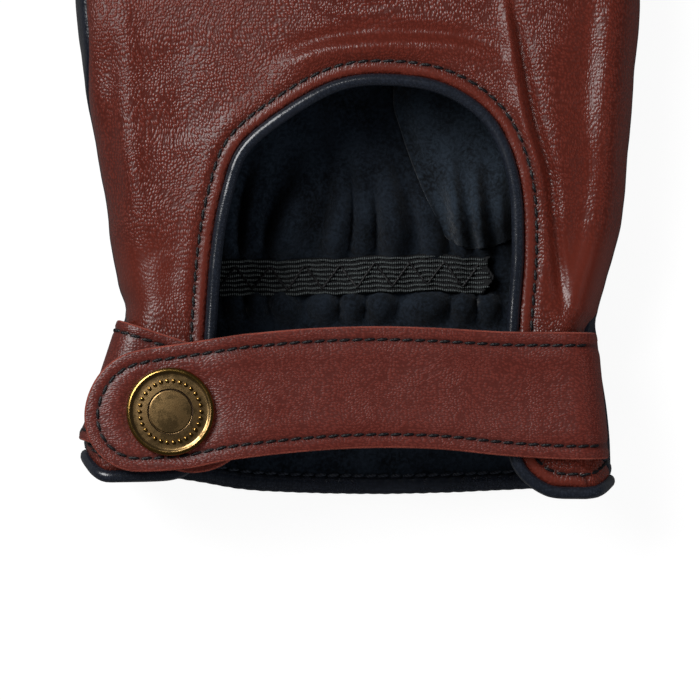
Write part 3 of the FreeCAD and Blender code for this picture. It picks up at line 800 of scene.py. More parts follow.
@dataclass(frozen=True)
class Thread:
    """Waxed sewing thread with a fine twist."""

    name: str
    dark: Colour
    light: Colour

    def make(self) -> bpy.types.Material:
        """Builds the material.

        Returns:
            The material.
        """
        bench = Bench(self.name)
        twist = bench.tree.nodes.new("ShaderNodeTexWave")
        twist.bands_direction = "DIAGONAL"
        twist.inputs["Scale"].default_value = 900.0
        twist.inputs["Distortion"].default_value = 1.0
        bench.link(bench.place, twist.inputs["Vector"])
        strands = twist.outputs["Fac"]
        fuzz = bench.clouds(0.2, 1.0)
        bench.colour(bench.mix(bench.sum(strands, fuzz, 0.3), tint(*self.dark), tint(*self.light)))
        bench.set(Roughness=0.55, Specular_IOR_Level=0.4)
        bench.emboss(strands, 0.06)
        return bench.paint


@dataclass(frozen=True)
class Tape:
    """Woven elastic tape: rubber-cored ribs along its length, bound by fine cross threads."""

    name: str
    dark: Colour
    light: Colour
    cross: float = 0.55

    def make(self) -> bpy.types.Material:
        """Builds the material.

        Returns:
            The material.
        """
        bench = Bench(self.name)
        weave = bench.tree.nodes.new("ShaderNodeTexWave")
        weave.bands_direction = "X"
        weave.inputs["Scale"].default_value = 500.0 / self.cross
        weave.inputs["Distortion"].default_value = 1.2
        weave.inputs["Detail"].default_value = 1.0
        weave.inputs["Detail Scale"].default_value = 2.0
        bench.link(bench.place, weave.inputs["Vector"])
        fibres = bench.clouds(0.22, 2.0, 0.6, bench.stretched(bench.place, (0.4, 1.0, 1.0)))
        height = bench.sum(weave.outputs["Fac"], fibres, 0.8)
        share = bench.span(height, 0.5, 1.5)
        bench.colour(bench.mix(share, tint(*self.dark), tint(*self.light)))
        bench.set(Roughness=0.7, Specular_IOR_Level=0.3)
        bench.emboss(height, 0.1)
        return bench.paint


@dataclass(frozen=True)
class Brass:
    """Antique brass: bright where it is rubbed, dark patina elsewhere."""

    name: str
    patina: Colour
    metal: Colour
    rubbed: float = 0.55
    rough_low: float = 0.26
    rough_high: float = 0.5

    def make(self) -> bpy.types.Material:
        """Builds the material.

        Returns:
            The material.
        """
        bench = Bench(self.name)
        stains = bench.span(bench.clouds(2.2, 4.0, 0.65), 0.3, 0.75)
        specks = bench.span(bench.clouds(0.3, 2.0, 0.7), 0.45, 0.8)
        share = bench.sum(stains, specks, -0.35)
        bench.colour(bench.mix(bench.span(share, 0.0, 1.0, 1.0, self.rubbed - 0.4),
                               tint(*self.patina), tint(*self.metal)))
        bench.roughness(bench.span(share, 0.0, 1.0, self.rough_low, self.rough_high))
        bench.set(Metallic=1.0)
        bench.emboss(bench.clouds(0.25, 2.0, 0.6), 0.01)
        return bench.paint


class Finishes:
    """Every finish of the glove, made once."""

    def __init__(self) -> None:
        """Builds the materials."""
        self.back = Leather("brown_grain_leather", (34, 8, 5), (90, 34, 25), (98, 40, 30),
                            stretch=(1.2, 0.85, 1.0), drawn=(88, 35, 26)).make()
        self.strap = Leather("strap_grain_leather", (46, 15, 12), (92, 38, 31), (98, 43, 36),
                             pebble=0.44, depth=0.06, gloss_low=0.33, gloss_high=0.43,
                             stretch=(0.75, 1.25, 1.0), drawn=(94, 42, 34)).make()
        self.palm = Leather("navy_nappa_leather", (8, 9, 14), (20, 23, 32), (25, 28, 38),
                            depth=0.05, gloss_low=0.28, gloss_high=0.38).make()
        self.piping = Leather("navy_piping_leather", (13, 15, 20), (26, 30, 38), (33, 37, 46),
                              pebble=0.5, depth=0.012, gloss_low=0.2, gloss_high=0.28,
                              specular=0.5).make()
        self.suede = Suede("navy_suede", (2, 4, 7), (25, 32, 41), sheen=0.08).make()
        self.flap = Suede("navy_suede_flap", (9, 12, 16), (38, 47, 57), sheen=0.15).make()
        self.flesh = Suede("brown_flesh_side", (58, 26, 21), (96, 50, 41), sheen=0.1).make()
        self.cut_edge = Suede("brown_cut_edge", (92, 38, 30), (138, 68, 56), sheen=0.05,
                              nap=0.25).make()
        self.dark_thread = Thread("dark_thread", (4, 4, 5), (17, 15, 18)).make()
        self.navy_thread = Thread("navy_thread", (9, 11, 15), (38, 42, 50)).make()
        self.tape = Tape("elastic_weave", (14, 16, 19), (88, 94, 94)).make()
        self.tape_ground = Tape("elastic_ground", (5, 6, 8), (16, 18, 21)).make()
        self.brass = Brass("antique_brass_worn", (84, 63, 39), (164, 134, 90)).make()
        self.brass_rim = Brass("antique_brass_rubbed_rim", (84, 62, 28), (178, 142, 78),
                               rubbed=0.9, rough_low=0.2, rough_high=0.34).make()
        self.brass_dark = Brass("antique_brass_groove", (24, 19, 16), (64, 50, 38), rubbed=0.4,
                                rough_low=0.45, rough_high=0.7).make()


# ---- the hand


@dataclass(frozen=True)
class Root:
    """Where a flap bends out of the hand's side seam, between two places."""

    body: Body
    start: tuple[float, float, float]
    end: tuple[float, float, float]

    def blend(self, piece: bpy.types.Object) -> None:
        """Bakes the piece's placement into its mesh."""
        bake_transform(piece)


def dress(piece: bpy.types.Object, body: "Body | Root", slot: Slot, *nodes: str) -> None:
    """Puts a piece on its body, or bakes its placement where it has a root, and hides the CAD nodes
    it stands for.

    Args:
        piece: the finished piece.
        body: the body it moves with, or the root that it bends at.
        slot: the record's material slot; not used.
        nodes: the CAD nodes it stands for.
    """
    if isinstance(body, Root):
        body.blend(piece)
        body = body.body
    else:
        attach(piece, body.value)
    if nodes:
        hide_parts(*nodes)
    log.info("%s: %d faces on %s", piece.name, len(piece.data.polygons), body.value)


@dataclass(frozen=True)
class Fold:
    """A crease or a ridge in the leather: its line, its height (negative sinks) and its width."""

    line: tuple[tuple[float, float], ...]
    rise: float
    width: float
    fade: float = 0.25
    smooth: float = 0.0

    def reach(self, places: Grid) -> tuple[Grid, Grid]:
        """Each place's distance from the fold, and the fold's strength there."""
        gap, along = distance_to(places, curve(self.line, 2.0))
        return gap, ease(0.0, self.fade, along) * (1.0 - ease(1.0 - self.fade, 1.0, along))

    def drawn(self, places: Grid) -> Grid:
        """How far the fold draws the grain smooth at each place."""
        gap, strength = self.reach(places)
        return self.smooth * bump(gap, self.width * 1.8) * strength

    def relief(self, places: Grid) -> Grid:
        """How far the fold lifts the leather at each place."""
        gap, strength = self.reach(places)
        return self.rise * bump(gap, self.width) * strength


@dataclass
class Rim:
    """The soft side all round an outline, from the upper face over the edge to the lower face."""

    line: Grid
    out: Grid
    round_top: Grid
    round_base: Grid
    seam: Grid
    tuck: Grid
    top: Callable[[Grid], Grid]
    relief: Callable[[Grid], Grid]
    base: float = 0.0
    middle: float = 0.46
    seam_depth: float = 0.3
    seam_width: float = 0.7

    def row(self, turn: Grid) -> Grid:
        """A row of points round the outline.

        Args:
            turn: angle at each place, 0 at the upper face, 90 at the side, 180 at the lower face.

        Returns:
            The places, one row each.
        """
        turn = np.broadcast_to(turn, self.seam.shape)
        side, lift = np.sin(np.radians(turn)), np.cos(np.radians(turn))
        reach = np.where(lift > 0, self.round_top, self.round_base) * (1.0 - side)
        reach = reach + self.tuck * (1.0 - ease(0.0, 22.0, turn - self.seam))
        plan = self.line - self.out * reach[:, None]
        top = self.top(plan)
        belly = self.base + (top - self.base) * self.middle
        height = belly + np.where(lift > 0, top - belly, belly - self.base) * lift
        push = self.relief(plan) * ease(-0.7, 0.1, lift)
        arc = np.radians(turn - self.seam) * (top - belly)
        push = push - self.seam_depth * bump(arc, self.seam_width)
        return np.stack([plan[:, 0] + self.out[:, 0] * side * push,
                         plan[:, 1] + self.out[:, 1] * side * push,
                         height + lift * push], axis=1)

    def rows(self, start: Grid, end: Grid, count: int) -> list[Grid]:
        """Rows at even angles from start to end."""
        return [self.row(start + (end - start) * k / count) for k in range(count + 1)]


@dataclass(frozen=True)
class Finger:
    """A finger stall seen from above."""

    lean: float
    half: float
    foot: Grid
    tip: Grid

    @property
    def along(self) -> Grid:
        """Direction to the fingertip."""
        return direction(self.lean)

    @property
    def across(self) -> Grid:
        """Direction to its right side."""
        return right_of(self.along)


@dataclass
class Hand:
    """Back, palm and the strips between the fingers."""

    leather: float = 0.9
    wrist_height: float = 21.6
    back_fall: float = 0.026
    crown: float = 1.5
    crown_reach: float = 52.0
    round_top: float = 4.6
    round_base: float = 5.0
    strip_spread: float = 56.0
    strap_bed: float = 2.1
    tab_bed: float = 1.9
    crotch: float = 1.6
    gaps: tuple = ((-26.2, 112.0), (-1.8, 121.0), (23.2, 122.0))
    leans: tuple = (-5.0, -2.0, 1.0, 4.0)
    lengths: tuple = (62.0, 78.0, 86.0, 76.0)
    outer_widths: tuple = (19.5, 21.5)
    left_side: tuple = ((-48.2, -13.3), (-48.1, -9.0), (-47.2, -5.0), (-45.7, 0.0), (-44.1, 5.0),
                        (-42.2, 11.0), (-41.3, 15.0), (-42.6, 19.0), (-43.6, 25.0), (-44.6, 34.0),
                        (-46.9, 47.5), (-49.2, 62.0), (-50.1, 74.0), (-48.8, 90.0))
    right_side: tuple = ((44.6, -16.2), (44.5, -10.0), (43.9, -2.6), (43.0, 4.0), (42.3, 10.0),
                         (42.3, 13.5), (43.9, 19.5), (45.9, 27.0), (47.0, 35.0), (48.2, 48.0),
                         (49.2, 60.0), (49.8, 72.0), (48.2, 90.0))
    keyhole: tuple = ((38.0, -16.3), (33.0, -15.6), (28.6, -11.5), (27.4, -4.0), (27.9, 12.0),
                      (28.8, 26.0), (27.9, 38.5), (23.6, 48.4), (15.5, 54.2), (5.5, 56.0),
                      (-3.6, 55.0), (-12.6, 50.2), (-20.6, 43.5), (-23.8, 35.0), (-25.6, 25.0),
                      (-26.7, 10.0), (-27.4, -4.0), (-30.5, -12.0), (-39.0, -13.4))
    palm_edge: tuple = ((38.0, -16.0), (30.0, -16.3), (17.0, -16.9), (4.0, -17.2), (-9.0, -17.0),
                        (-20.0, -16.4), (-29.0, -14.9), (-38.0, -13.6))
    knuckle_radius: float = 6.5
    knuckle_stretch: float = 2.5
    knuckle_back: float = 20.0
    knuckle_shift: tuple = (2.5, 0.0, 0.0, -1.5)
    piping: float = 1.08
    knuckle_piping: float = 1.026
    stitch_inset: float = 2.45
    stitch_groove: float = 0.42
    hem: tuple = (1.5, 1.05)
    hem_inset: float = 0.95
    hem_pitch: float = 2.2
    hem_pucker: float = 0.08
    inner_fold: tuple = ((-4.0, 57.0), (-2.0, 46.0), (3.0, 38.0), (7.0, 30.0))
    pleat: float = 5.6
    pleat_height: float = 3.3
    palm_waves: float = 1.6
    palm_swell: float = 0.9
    inner_fold_height: float = 1.8
    net: float = 0.78
    palm_net: float = 1.15
    folds: tuple = (
        Fold(((26.6, 75.0), (27.0, 69.0), (28.9, 57.8), (31.0, 47.0), (33.4, 38.5), (34.2, 31.0),
              (36.2, 12.0)), -1.8, 0.85, 0.2),
        Fold(((25.4, 74.0), (27.3, 57.8), (29.2, 48.0), (31.4, 40.0), (32.4, 33.0)), 1.0, 1.0,
             smooth=0.6),
        Fold(((32.0, 66.0), (33.0, 56.0), (34.6, 46.0), (36.0, 36.0)), 0.5, 2.4),
        Fold(((41.2, 76.0), (39.9, 52.0), (40.3, 41.0), (39.0, 29.8), (37.4, 21.0), (35.6, 13.0)),
             -1.0, 2.4, 0.2, 0.4),
        Fold(((45.4, 72.0), (44.3, 49.0), (42.9, 35.0), (40.8, 24.9), (39.4, 17.0)), 0.12, 1.9),
        Fold(((-18.0, 53.5), (-12.5, 57.6), (-6.0, 60.3), (4.0, 61.4), (15.0, 61.1), (22.5, 59.4),
              (28.0, 56.0)),
             1.1, 1.6, 0.25, 0.35),
        Fold(((-18.0, 56.6), (-12.0, 60.2), (-5.0, 62.7), (4.0, 63.6), (15.0, 63.2), (23.5, 61.4),
              (28.5, 58.6)),
             -0.8, 1.2, 0.25, 0.35),
        Fold(((-8.0, 67.0), (-4.0, 65.6), (2.0, 65.2), (8.0, 66.6)), -0.3, 0.8),
        Fold(((-5.0, 70.0), (-1.0, 68.2), (4.0, 68.0), (9.0, 69.6)), -0.28, 0.8),
        Fold(((-45.6, 74.0), (-45.6, 56.0), (-44.8, 44.0)), 0.8, 1.7),
        Fold(((-43.7, 66.0), (-43.6, 52.0), (-42.6, 41.0), (-40.8, 30.0)), -1.1, 1.9),
        Fold(((-41.6, 76.0), (-40.8, 58.0), (-40.4, 45.0), (-39.2, 36.0), (-36.6, 26.0)), 0.8, 2.7),
        Fold(((-33.0, 64.0), (-31.0, 52.0), (-29.8, 42.0)), -0.5, 3.4),
        Fold(((-41.6, 30.0), (-39.0, 20.0), (-35.6, 10.0)), -0.5, 6.4, 0.35, 0.75),
        Fold(((42.6, 31.0), (40.8, 21.0), (38.0, 10.0)), -0.35, 6.0, 0.35, 0.75),
        Fold(((-35.5, 26.0), (-35.2, 18.0), (-34.0, 11.0)), 0.3, 1.8),
    )

    def __post_init__(self) -> None:
        """Works out the fingers, the outline and the soft rim."""
        self.fingers = self.lay_fingers()
        self.rim = self.lay_rim()
        self.edge = curve(self.keyhole, 0.9)
        self.holes = [self.knuckle_ring(k, 0.0) for k in range(len(self.fingers))]

    def lay_fingers(self) -> list[Finger]:
        """Places the fingers between the gaps.

        Returns:
            The fingers, the little one first.
        """
        gaps = [np.array(gap) for gap in self.gaps]
        fingers = []
        for k, (lean, length) in enumerate(zip(self.leans, self.lengths)):
            across = right_of(direction(lean))
            if k == 0:
                width = self.outer_widths[0]
                left = gaps[0] - across * (self.crotch + width)
            elif k == len(self.leans) - 1:
                width = self.outer_widths[1]
                left = gaps[-1] + across * self.crotch
            else:
                width = (gaps[k] - gaps[k - 1]) @ across - 2 * self.crotch
                left = gaps[k - 1] + across * self.crotch
            foot, half = left + across * width / 2, width / 2
            fingers.append(Finger(lean, half, foot, foot + direction(lean) * (length - half)))
        return fingers

    def lay_rim(self) -> Rim:
        """Draws the outline from the left cuff round the fingers to the right cuff.

        Returns:
            The rim.
        """
        little, index = self.fingers[0], self.fingers[-1]
        low_left = little.foot - little.across * little.half
        tip_left = little.tip - little.across * little.half
        rows = [curve([*self.left_side, low_left, (low_left + tip_left) / 2, tip_left], 1.0)]
        zones = [np.zeros(len(rows[0]))]
        for k, finger in enumerate(self.fingers):
            turn = np.linspace(math.pi, 0.0, 26)[1:-1, None]
            rows.append(finger.tip + finger.half * (np.cos(turn) * finger.across
                                                    + np.sin(turn) * finger.along))
            zones.append(np.zeros(len(rows[-1])))
            if finger is index:
                break
            following, gap = self.fingers[k + 1], np.array(self.gaps[k])
            turn = np.linspace(0.0, math.pi, 15)[:, None]
            mean = finger.along + following.along
            mean /= np.linalg.norm(mean)
            notch = gap - self.crotch * (np.cos(turn) * right_of(mean) + np.sin(turn) * mean)
            down = finger.tip + finger.across * finger.half
            up = following.tip - following.across * following.half
            walk = np.vstack([even(np.stack([down, notch[0]]), 1.2), notch[1:-1],
                              even(np.stack([notch[-1], up]), 1.2)])
            rows.append(walk)
            zones.append(np.full(len(walk), k + 1))
        low_right = index.foot + index.across * index.half
        tip_right = index.tip + index.across * index.half
        side = [*self.right_side, low_right, (low_right + tip_right) / 2, tip_right]
        rows.append(curve(side[::-1], 1.0))
        zones.append(np.zeros(len(rows[-1])))
        line, self.zone = np.vstack(rows), np.concatenate(zones)
        run = tangents(line)
        out = np.stack([-run[:, 1], run[:, 0]], axis=1)
        x, y = line[:, 0], line[:, 1]
        self.opening = self.gap_opening(line)
        left = (x < 0) & (self.zone == 0)
        high = ease(45.0, 64.0, y) * (1 - ease(96.0, 112.0, y)) * left
        cuff = 1.0 - ease(9.0, 15.0, y)
        seam = (84.0 - 42.0 * high - 12.0 * cuff - 6.0 * ease(100.0, 116.0, y)
                - 18.0 * self.opening)
        strap_bed = self.strap_bed * (1 - ease(11.0, 14.5, y)) * ease(-15.5, -11.5, y) * (x > 0)
        tab_bed = self.tab_bed * (1 - ease(11.0, 14.0, y)) * ease(-10.5, -7.0, y) * (x < 0)
        rim = self.round_top + 1.8 * ease(8.0, 24.0, y) + 1.5 * ease(104.0, 118.0, y)
        return Rim(line, out, rim, np.full(len(line), self.round_base), seam, strap_bed + tab_bed,
                   self.back_plane, self.relief)

    def gap_opening(self, line: Grid) -> Grid:
        """How far the strip between two fingers is open at each place, from 0 to 1.

        Args:
            line: points of the outline.

        Returns:
            The shares.
        """
        opening = np.zeros(len(line))
        for zone in range(1, len(self.gaps) + 1):
            at = np.flatnonzero(self.zone == zone)
            steps = np.linalg.norm(np.diff(line[at], axis=0), axis=1)
            run = np.concatenate([[0.0], np.cumsum(steps)])
            opening[at] = ease(-1.0, 16.0, np.minimum(run, run[-1] - run))
        return opening

    def back_plane(self, places: Grid) -> Grid:
        """Height of the back before any fold.

        Args:
            places: places in the plane.

        Returns:
            The heights.
        """
        x, y = places[:, 0], places[:, 1]
        crown = self.crown * ease(16.0, 44.0, y) * (1 - ease(84.0, 112.0, y))
        crown = crown * (1 - np.clip(np.abs(x) / self.crown_reach, 0, 1) ** 2.4)
        return self.wrist_height - self.back_fall * y + crown

    def from_keyhole(self, places: Grid) -> Grid:
        """Distance of each place from the keyhole's edge."""
        return distance_to(places, curve(self.keyhole, 2.0))[0]

    def relief(self, places: Grid) -> Grid:
        """Folds, creases and soft unevenness of the back.

        Args:
            places: places in the plane.

        Returns:
            The heights.
        """
        y = places[:, 1]
        lift = sum(fold.relief(places) for fold in self.folds)
        lift = lift + sum(fold.relief(places) for fold in self.finger_creases())
        free = ease(13.0, 22.0, y)
        lift = lift + free * (0.22 * ripple(places, 9.0, 3.1) + 0.10 * ripple(places, 3.4, 8.2))
        gap = self.from_keyhole(places)
        lift = lift - self.stitch_groove * bump(gap - self.stitch_inset, 0.5)
        lift = lift + 0.16 * bump(gap - 1.35, 0.7)
        return lift - 0.35 * bump(gap, 0.5) + free * 0.3 * bump(gap - 4.2, 1.3)

    def drawn(self, places: Grid) -> Grid:
        """How far the leather is drawn smooth at each place."""
        gap = self.from_keyhole(places)
        folds = sum(fold.drawn(places) for fold in self.folds)
        return np.clip(folds + 0.85 * bump(gap - 1.2, 0.95), 0.0, 1.0)

    def stitch_shade_share(self, places: Grid) -> Grid:
        """How near each place is to the stitches round the keyhole, where a shadow is painted."""
        gap = self.from_keyhole(places)
        return bump(gap - self.stitch_inset, 0.55)

    def finger_creases(self) -> list[Fold]:
        """Cross creases where each finger bends.

        Returns:
            The creases.
        """
        creases = []
        for k, finger in enumerate(self.fingers):
            reach = finger.half * 0.82
            long = float(np.linalg.norm(finger.tip - finger.foot))
            for n, (share, rise) in enumerate(((0.30, -0.3), (0.35, -0.4), (0.41, -0.25),
                                               (0.70, -0.3), (0.755, -0.35))):
                middle = finger.foot + finger.along * long * share
                sway = 0.7 * math.sin(2.1 * k + 1.7 * n)
                lean = finger.across * reach + finger.along * sway
                line = (tuple(middle - lean), tuple(middle + finger.along * 0.9),
                        tuple(middle + lean))
                creases.append(Fold(line, rise, 0.95, 0.35))
        return creases

    def on_top(self, places: Grid, above: float = 0.0) -> Grid:
        """Places on the back, raised above the leather."""
        height = self.back_plane(places) + self.relief(places) + above
        return np.column_stack([places, height])

    def knuckle_ring(self, k: int, drop: float) -> Grid:
        """Edge of a knuckle hole, drop inside the cut.

        Args:
            k: number of the finger, 0 for the little one.
            drop: how far inside the cut.

        Returns:
            The ring.
        """
        finger = self.fingers[k]
        centre = finger.foot - finger.along * self.knuckle_back
        centre = centre + finger.across * self.knuckle_shift[k]
        turn = np.linspace(0.0, 2 * math.pi, 44, endpoint=False)[:, None]
        radius = self.knuckle_radius - drop
        stretch = self.knuckle_stretch * np.clip(3 * np.sin(turn), -1, 1)
        return centre + np.cos(turn) * radius * finger.across + (
            np.sin(turn) * radius + stretch) * finger.along

    def cuff_lift(self, row: Grid) -> Grid:
        """Draws the cuff back at the hand's sides, where the binding rounds its corners.

        Args:
            row: places on the leather.

        Returns:
            The moved places.
        """
        x, y, z = row[:, 0], row[:, 1], row[:, 2]
        plane = self.wrist_height - self.back_fall * y
        side = np.clip(1 - (2 * z / plane - 1) ** 2, 0, 1) * ease(36.0, 44.0, np.abs(x))
        pull = np.where(x < 0, 4.0, 2.3) * side * (1 - ease(-14.0, 4.0, y))
        return np.column_stack([x, y + pull, z])

    def cuff_corner(self, end: int, inset: float, above: float,
                    last: float = 0.93, count: int = 10) -> tuple[Grid, Grid]:
        """A line round the side of the cuff, beside its edge, and the way it faces.

        Args:
            end: 0 at the left cuff, -1 at the right one.
            inset: distance from the cuff's edge.
            above: height over the leather.
            last: where it ends, as a share of the angle of the side seam.
            count: number of steps.

        Returns:
            The places from the upper face outwards, and their directions.
        """
        places, facing = [], []
        for k in range(count + 1):
            turn = self.rim.seam * last * k / count
            row = self.cuff_lift(self.rim.row(turn))
            near = (row if end == 0 else row[::-1])[:12]
            run = np.concatenate([[0.0], np.cumsum(np.linalg.norm(np.diff(near, axis=0), axis=1))])
            angle = math.radians(float(turn[end]))
            facing.append([*(self.rim.out[end] * math.sin(angle)), math.cos(angle)])
            places.append([np.interp(inset, run, near[:, axis]) for axis in range(3)])
        return np.array(places) + above * np.array(facing), np.array(facing)

    def gathers(self, places: Grid) -> Grid:
        """Height of the palm's outer side over the table: gathers beside the elastic, and waves.

        Args:
            places: places in the plane.

        Returns:
            The heights.
        """
        x, y = places[:, 0], places[:, 1]
        middle = ease(-30.0, -22.0, x) * (1 - ease(22.0, 30.0, x))
        sway = x + 1.6 * np.sin(y / 7.0 + x / 9.0)
        pleats = 0.5 + 0.5 * np.cos(2 * math.pi * (sway + 1.2 * np.sin(x / 3.3)) / self.pleat)
        above = pleats ** 1.5 * ease(22.5, 27.0, y) * (1 - ease(30.0, 46.0, y))
        puckers = pleats ** 0.8 * ease(12.0, 15.5, y) * (1 - ease(16.4, 18.4, y))
        swell = self.palm_swell * ease(23.0, 34.0, y) * (1 - ease(48.0, 66.0, y))
        waves = ease(-12.0, 0.0, y) * (0.5 + 0.5 * ripple(places, 7.5, 5.7)) * 0.7
        gap, _ = distance_to(places, curve(self.inner_fold, 2.0))
        fold = self.inner_fold_height * bump(gap, 3.0)
        return middle * (self.pleat_height * (above + puckers) + swell + fold
                         + self.palm_waves * waves)

    def cuff_side(self, end: int, turns: Sequence[Grid]) -> tuple[Grid, Grid]:
        """The cuff's edge round one side of the hand, and the way it faces.

        Args:
            end: 0 at the left side, -1 at the right one.
            turns: angles of the rim, one row for each step.

        Returns:
            The places, and their directions.
        """
        column = np.array([self.cuff_lift(self.rim.row(turn))[end] for turn in turns])
        angle = np.radians([turn[end] for turn in turns])[:, None]
        return column, np.hstack([self.rim.out[end][None, :] * np.sin(angle), np.cos(angle)])

    def build_back(self, finish: Finishes) -> None:
        """The brown back with its openings.

        Args:
            finish: the glove's finishes.
        """
        rows = self.rim.rows(np.zeros_like(self.rim.seam), self.rim.seam, 9)
        inner = rows[0][:, :2]
        plan, triangles = fill([np.vstack([inner, self.edge]), *self.holes], self.net)
        shell = Shell()
        numbers = shell.add(self.cuff_lift(self.on_top(plan)))
        shell.mark("drawn", numbers, self.drawn(plan))
        # shares of painted shadow along the stitches
        shell.mark("seam", numbers, self.stitch_shade_share(plan))
        shell.face(triangles)
        last = numbers[:len(inner)]
        for row in rows[1:]:
            following = shell.add(self.cuff_lift(row))
            shell.mark("drawn", following, self.drawn(row[:, :2]))
            shell.strip(last, following)
            last = following
        back = shell.build("back_leather", [finish.back, finish.flesh, finish.cut_edge])
        thicken(back, self.leather, 1, 2)
        dress(back, Body.GLOVE, Slot.BACK, "back_panel")

    def build_palm(self, finish: Finishes) -> None:
        """The navy palm, wrapped up round the sides.

        Args:
            finish: the glove's finishes.
        """
        lower_seam = self.rim.seam + self.strip_spread * self.opening
        rows = self.rim.rows(lower_seam, np.full_like(lower_seam, 180.0), 11)
        inner = rows[-1][:, :2]
        plan, triangles = fill([np.vstack([inner, curve(self.palm_edge, 1.1)])], self.palm_net)
        shell = Shell()
        floor = np.column_stack([plan, self.gathers(plan)])
        numbers = shell.add(self.cuff_lift(floor))
        shell.face(triangles[:, ::-1])
        shell.grow(numbers[:len(inner)], [self.cuff_lift(row) for row in rows[-2::-1]], flip=True)
        palm = shell.build("palm_leather", [finish.palm, finish.suede, finish.palm])
        thicken(palm, self.leather, 1, 2)
        dress(palm, Body.GLOVE, Slot.PALM, "palm_panel")

    def build_fourchettes(self, finish: Finishes) -> None:
        """The strips between neighbouring fingers.

        Args:
            finish: the glove's finishes.
        """
        names = ("fourchette_ring_little", "fourchette_middle_ring", "fourchette_index_middle")
        rows = self.rim.rows(self.rim.seam, self.rim.seam + self.strip_spread * self.opening, 7)
        for zone, name in enumerate(names, start=1):
            at = np.flatnonzero(self.zone == zone)
            shell = Shell()
            shell.grow(shell.add(rows[0][at]), [row[at] for row in rows[1:]])
            strip = shell.build(name.replace("fourchette", "finger_strip"),
                                [finish.palm, finish.suede, finish.palm])
            thicken(strip, self.leather, 1, 2)
            dress(strip, Body.GLOVE, Slot.PALM, name)

    def build_piping(self, finish: Finishes) -> None:
        """Rolled navy piping of the keyhole and of the knuckle holes.

        Args:
            finish: the glove's finishes.
        """
        count = 8
        turns = [self.rim.seam * k / count for k in range(count + 1)]
        shift = 0.8 * self.piping
        top = self.cuff_lift(self.on_top(beside(self.edge, shift), -0.15))[2:-2]
        right, right_up = self.cuff_side(-1, turns[::-1])
        left, left_up = self.cuff_side(0, turns)
        drop = np.array([0.0, shift, 0.0])
        both = even(np.hstack([np.vstack([right - drop, top, left - drop]),
                               np.vstack([right_up, facing_up(len(top)), left_up])]), 0.7)
        bar = sweep(both[:, :3], both[:, 3:], oval(self.piping, self.piping), taper=0.35)
        piece = bar.build("keyhole_rolled_piping", [finish.piping])
        tidy(piece)
        dress(piece, Body.GLOVE, Slot.PALM, "keyhole_piping")
        section = oval(self.knuckle_piping, self.knuckle_piping)
        for k, name in enumerate(("little", "ring", "middle", "index")):
            path = self.on_top(self.knuckle_ring(k, 0.75 * self.piping), -0.1)
            bar = sweep(path, facing_up(len(path)), section, closed=True)
            piece = bar.build(f"knuckle_rolled_piping_{name}", [finish.piping])
            tidy(piece)
            dress(piece, Body.GLOVE, Slot.PALM, f"knuckle_piping_{name}")

    def build_binding(self, finish: Finishes) -> None:
        """The rolled hem of the palm at the cuff.

        Args:
            finish: the glove's finishes.
        """
        count = 12
        seam = self.rim.seam + 1.0
        turns = [seam + (180.0 - seam) * k / count for k in range(count + 1)]
        left, left_down = self.cuff_side(0, turns)
        right, right_down = self.cuff_side(-1, turns[::-1])
        hem = curve(self.palm_edge[::-1], 1.0)
        bottom = np.column_stack([hem, self.gathers(hem)])[1:-1]
        step = 0.45
        both = even(np.hstack([np.vstack([left, bottom, right]),
                               np.vstack([left_down, -facing_up(len(bottom)), right_down])]), step)
        puckers = 0.5 * np.cos(np.arange(len(both)) * step * 2 * math.pi / self.hem_pitch)
        puckers = self.hem_pucker * (puckers + 0.5 * ripple(both, 1.6, 9.9))
        middle = both[:, :3] - both[:, 3:] * (self.hem_inset + puckers[:, None])
        middle[:, 1] += 1.0 + puckers
        section = oval(*self.hem, 16)
        bar = sweep(middle, both[:, 3:], section, taper=0.4)
        piece = bar.build("palm_rolled_hem", [finish.piping])
        tidy(piece)
        dress(piece, Body.GLOVE, Slot.PALM, "palm_cuff_binding")


# ---- thumb, gusset and elastic


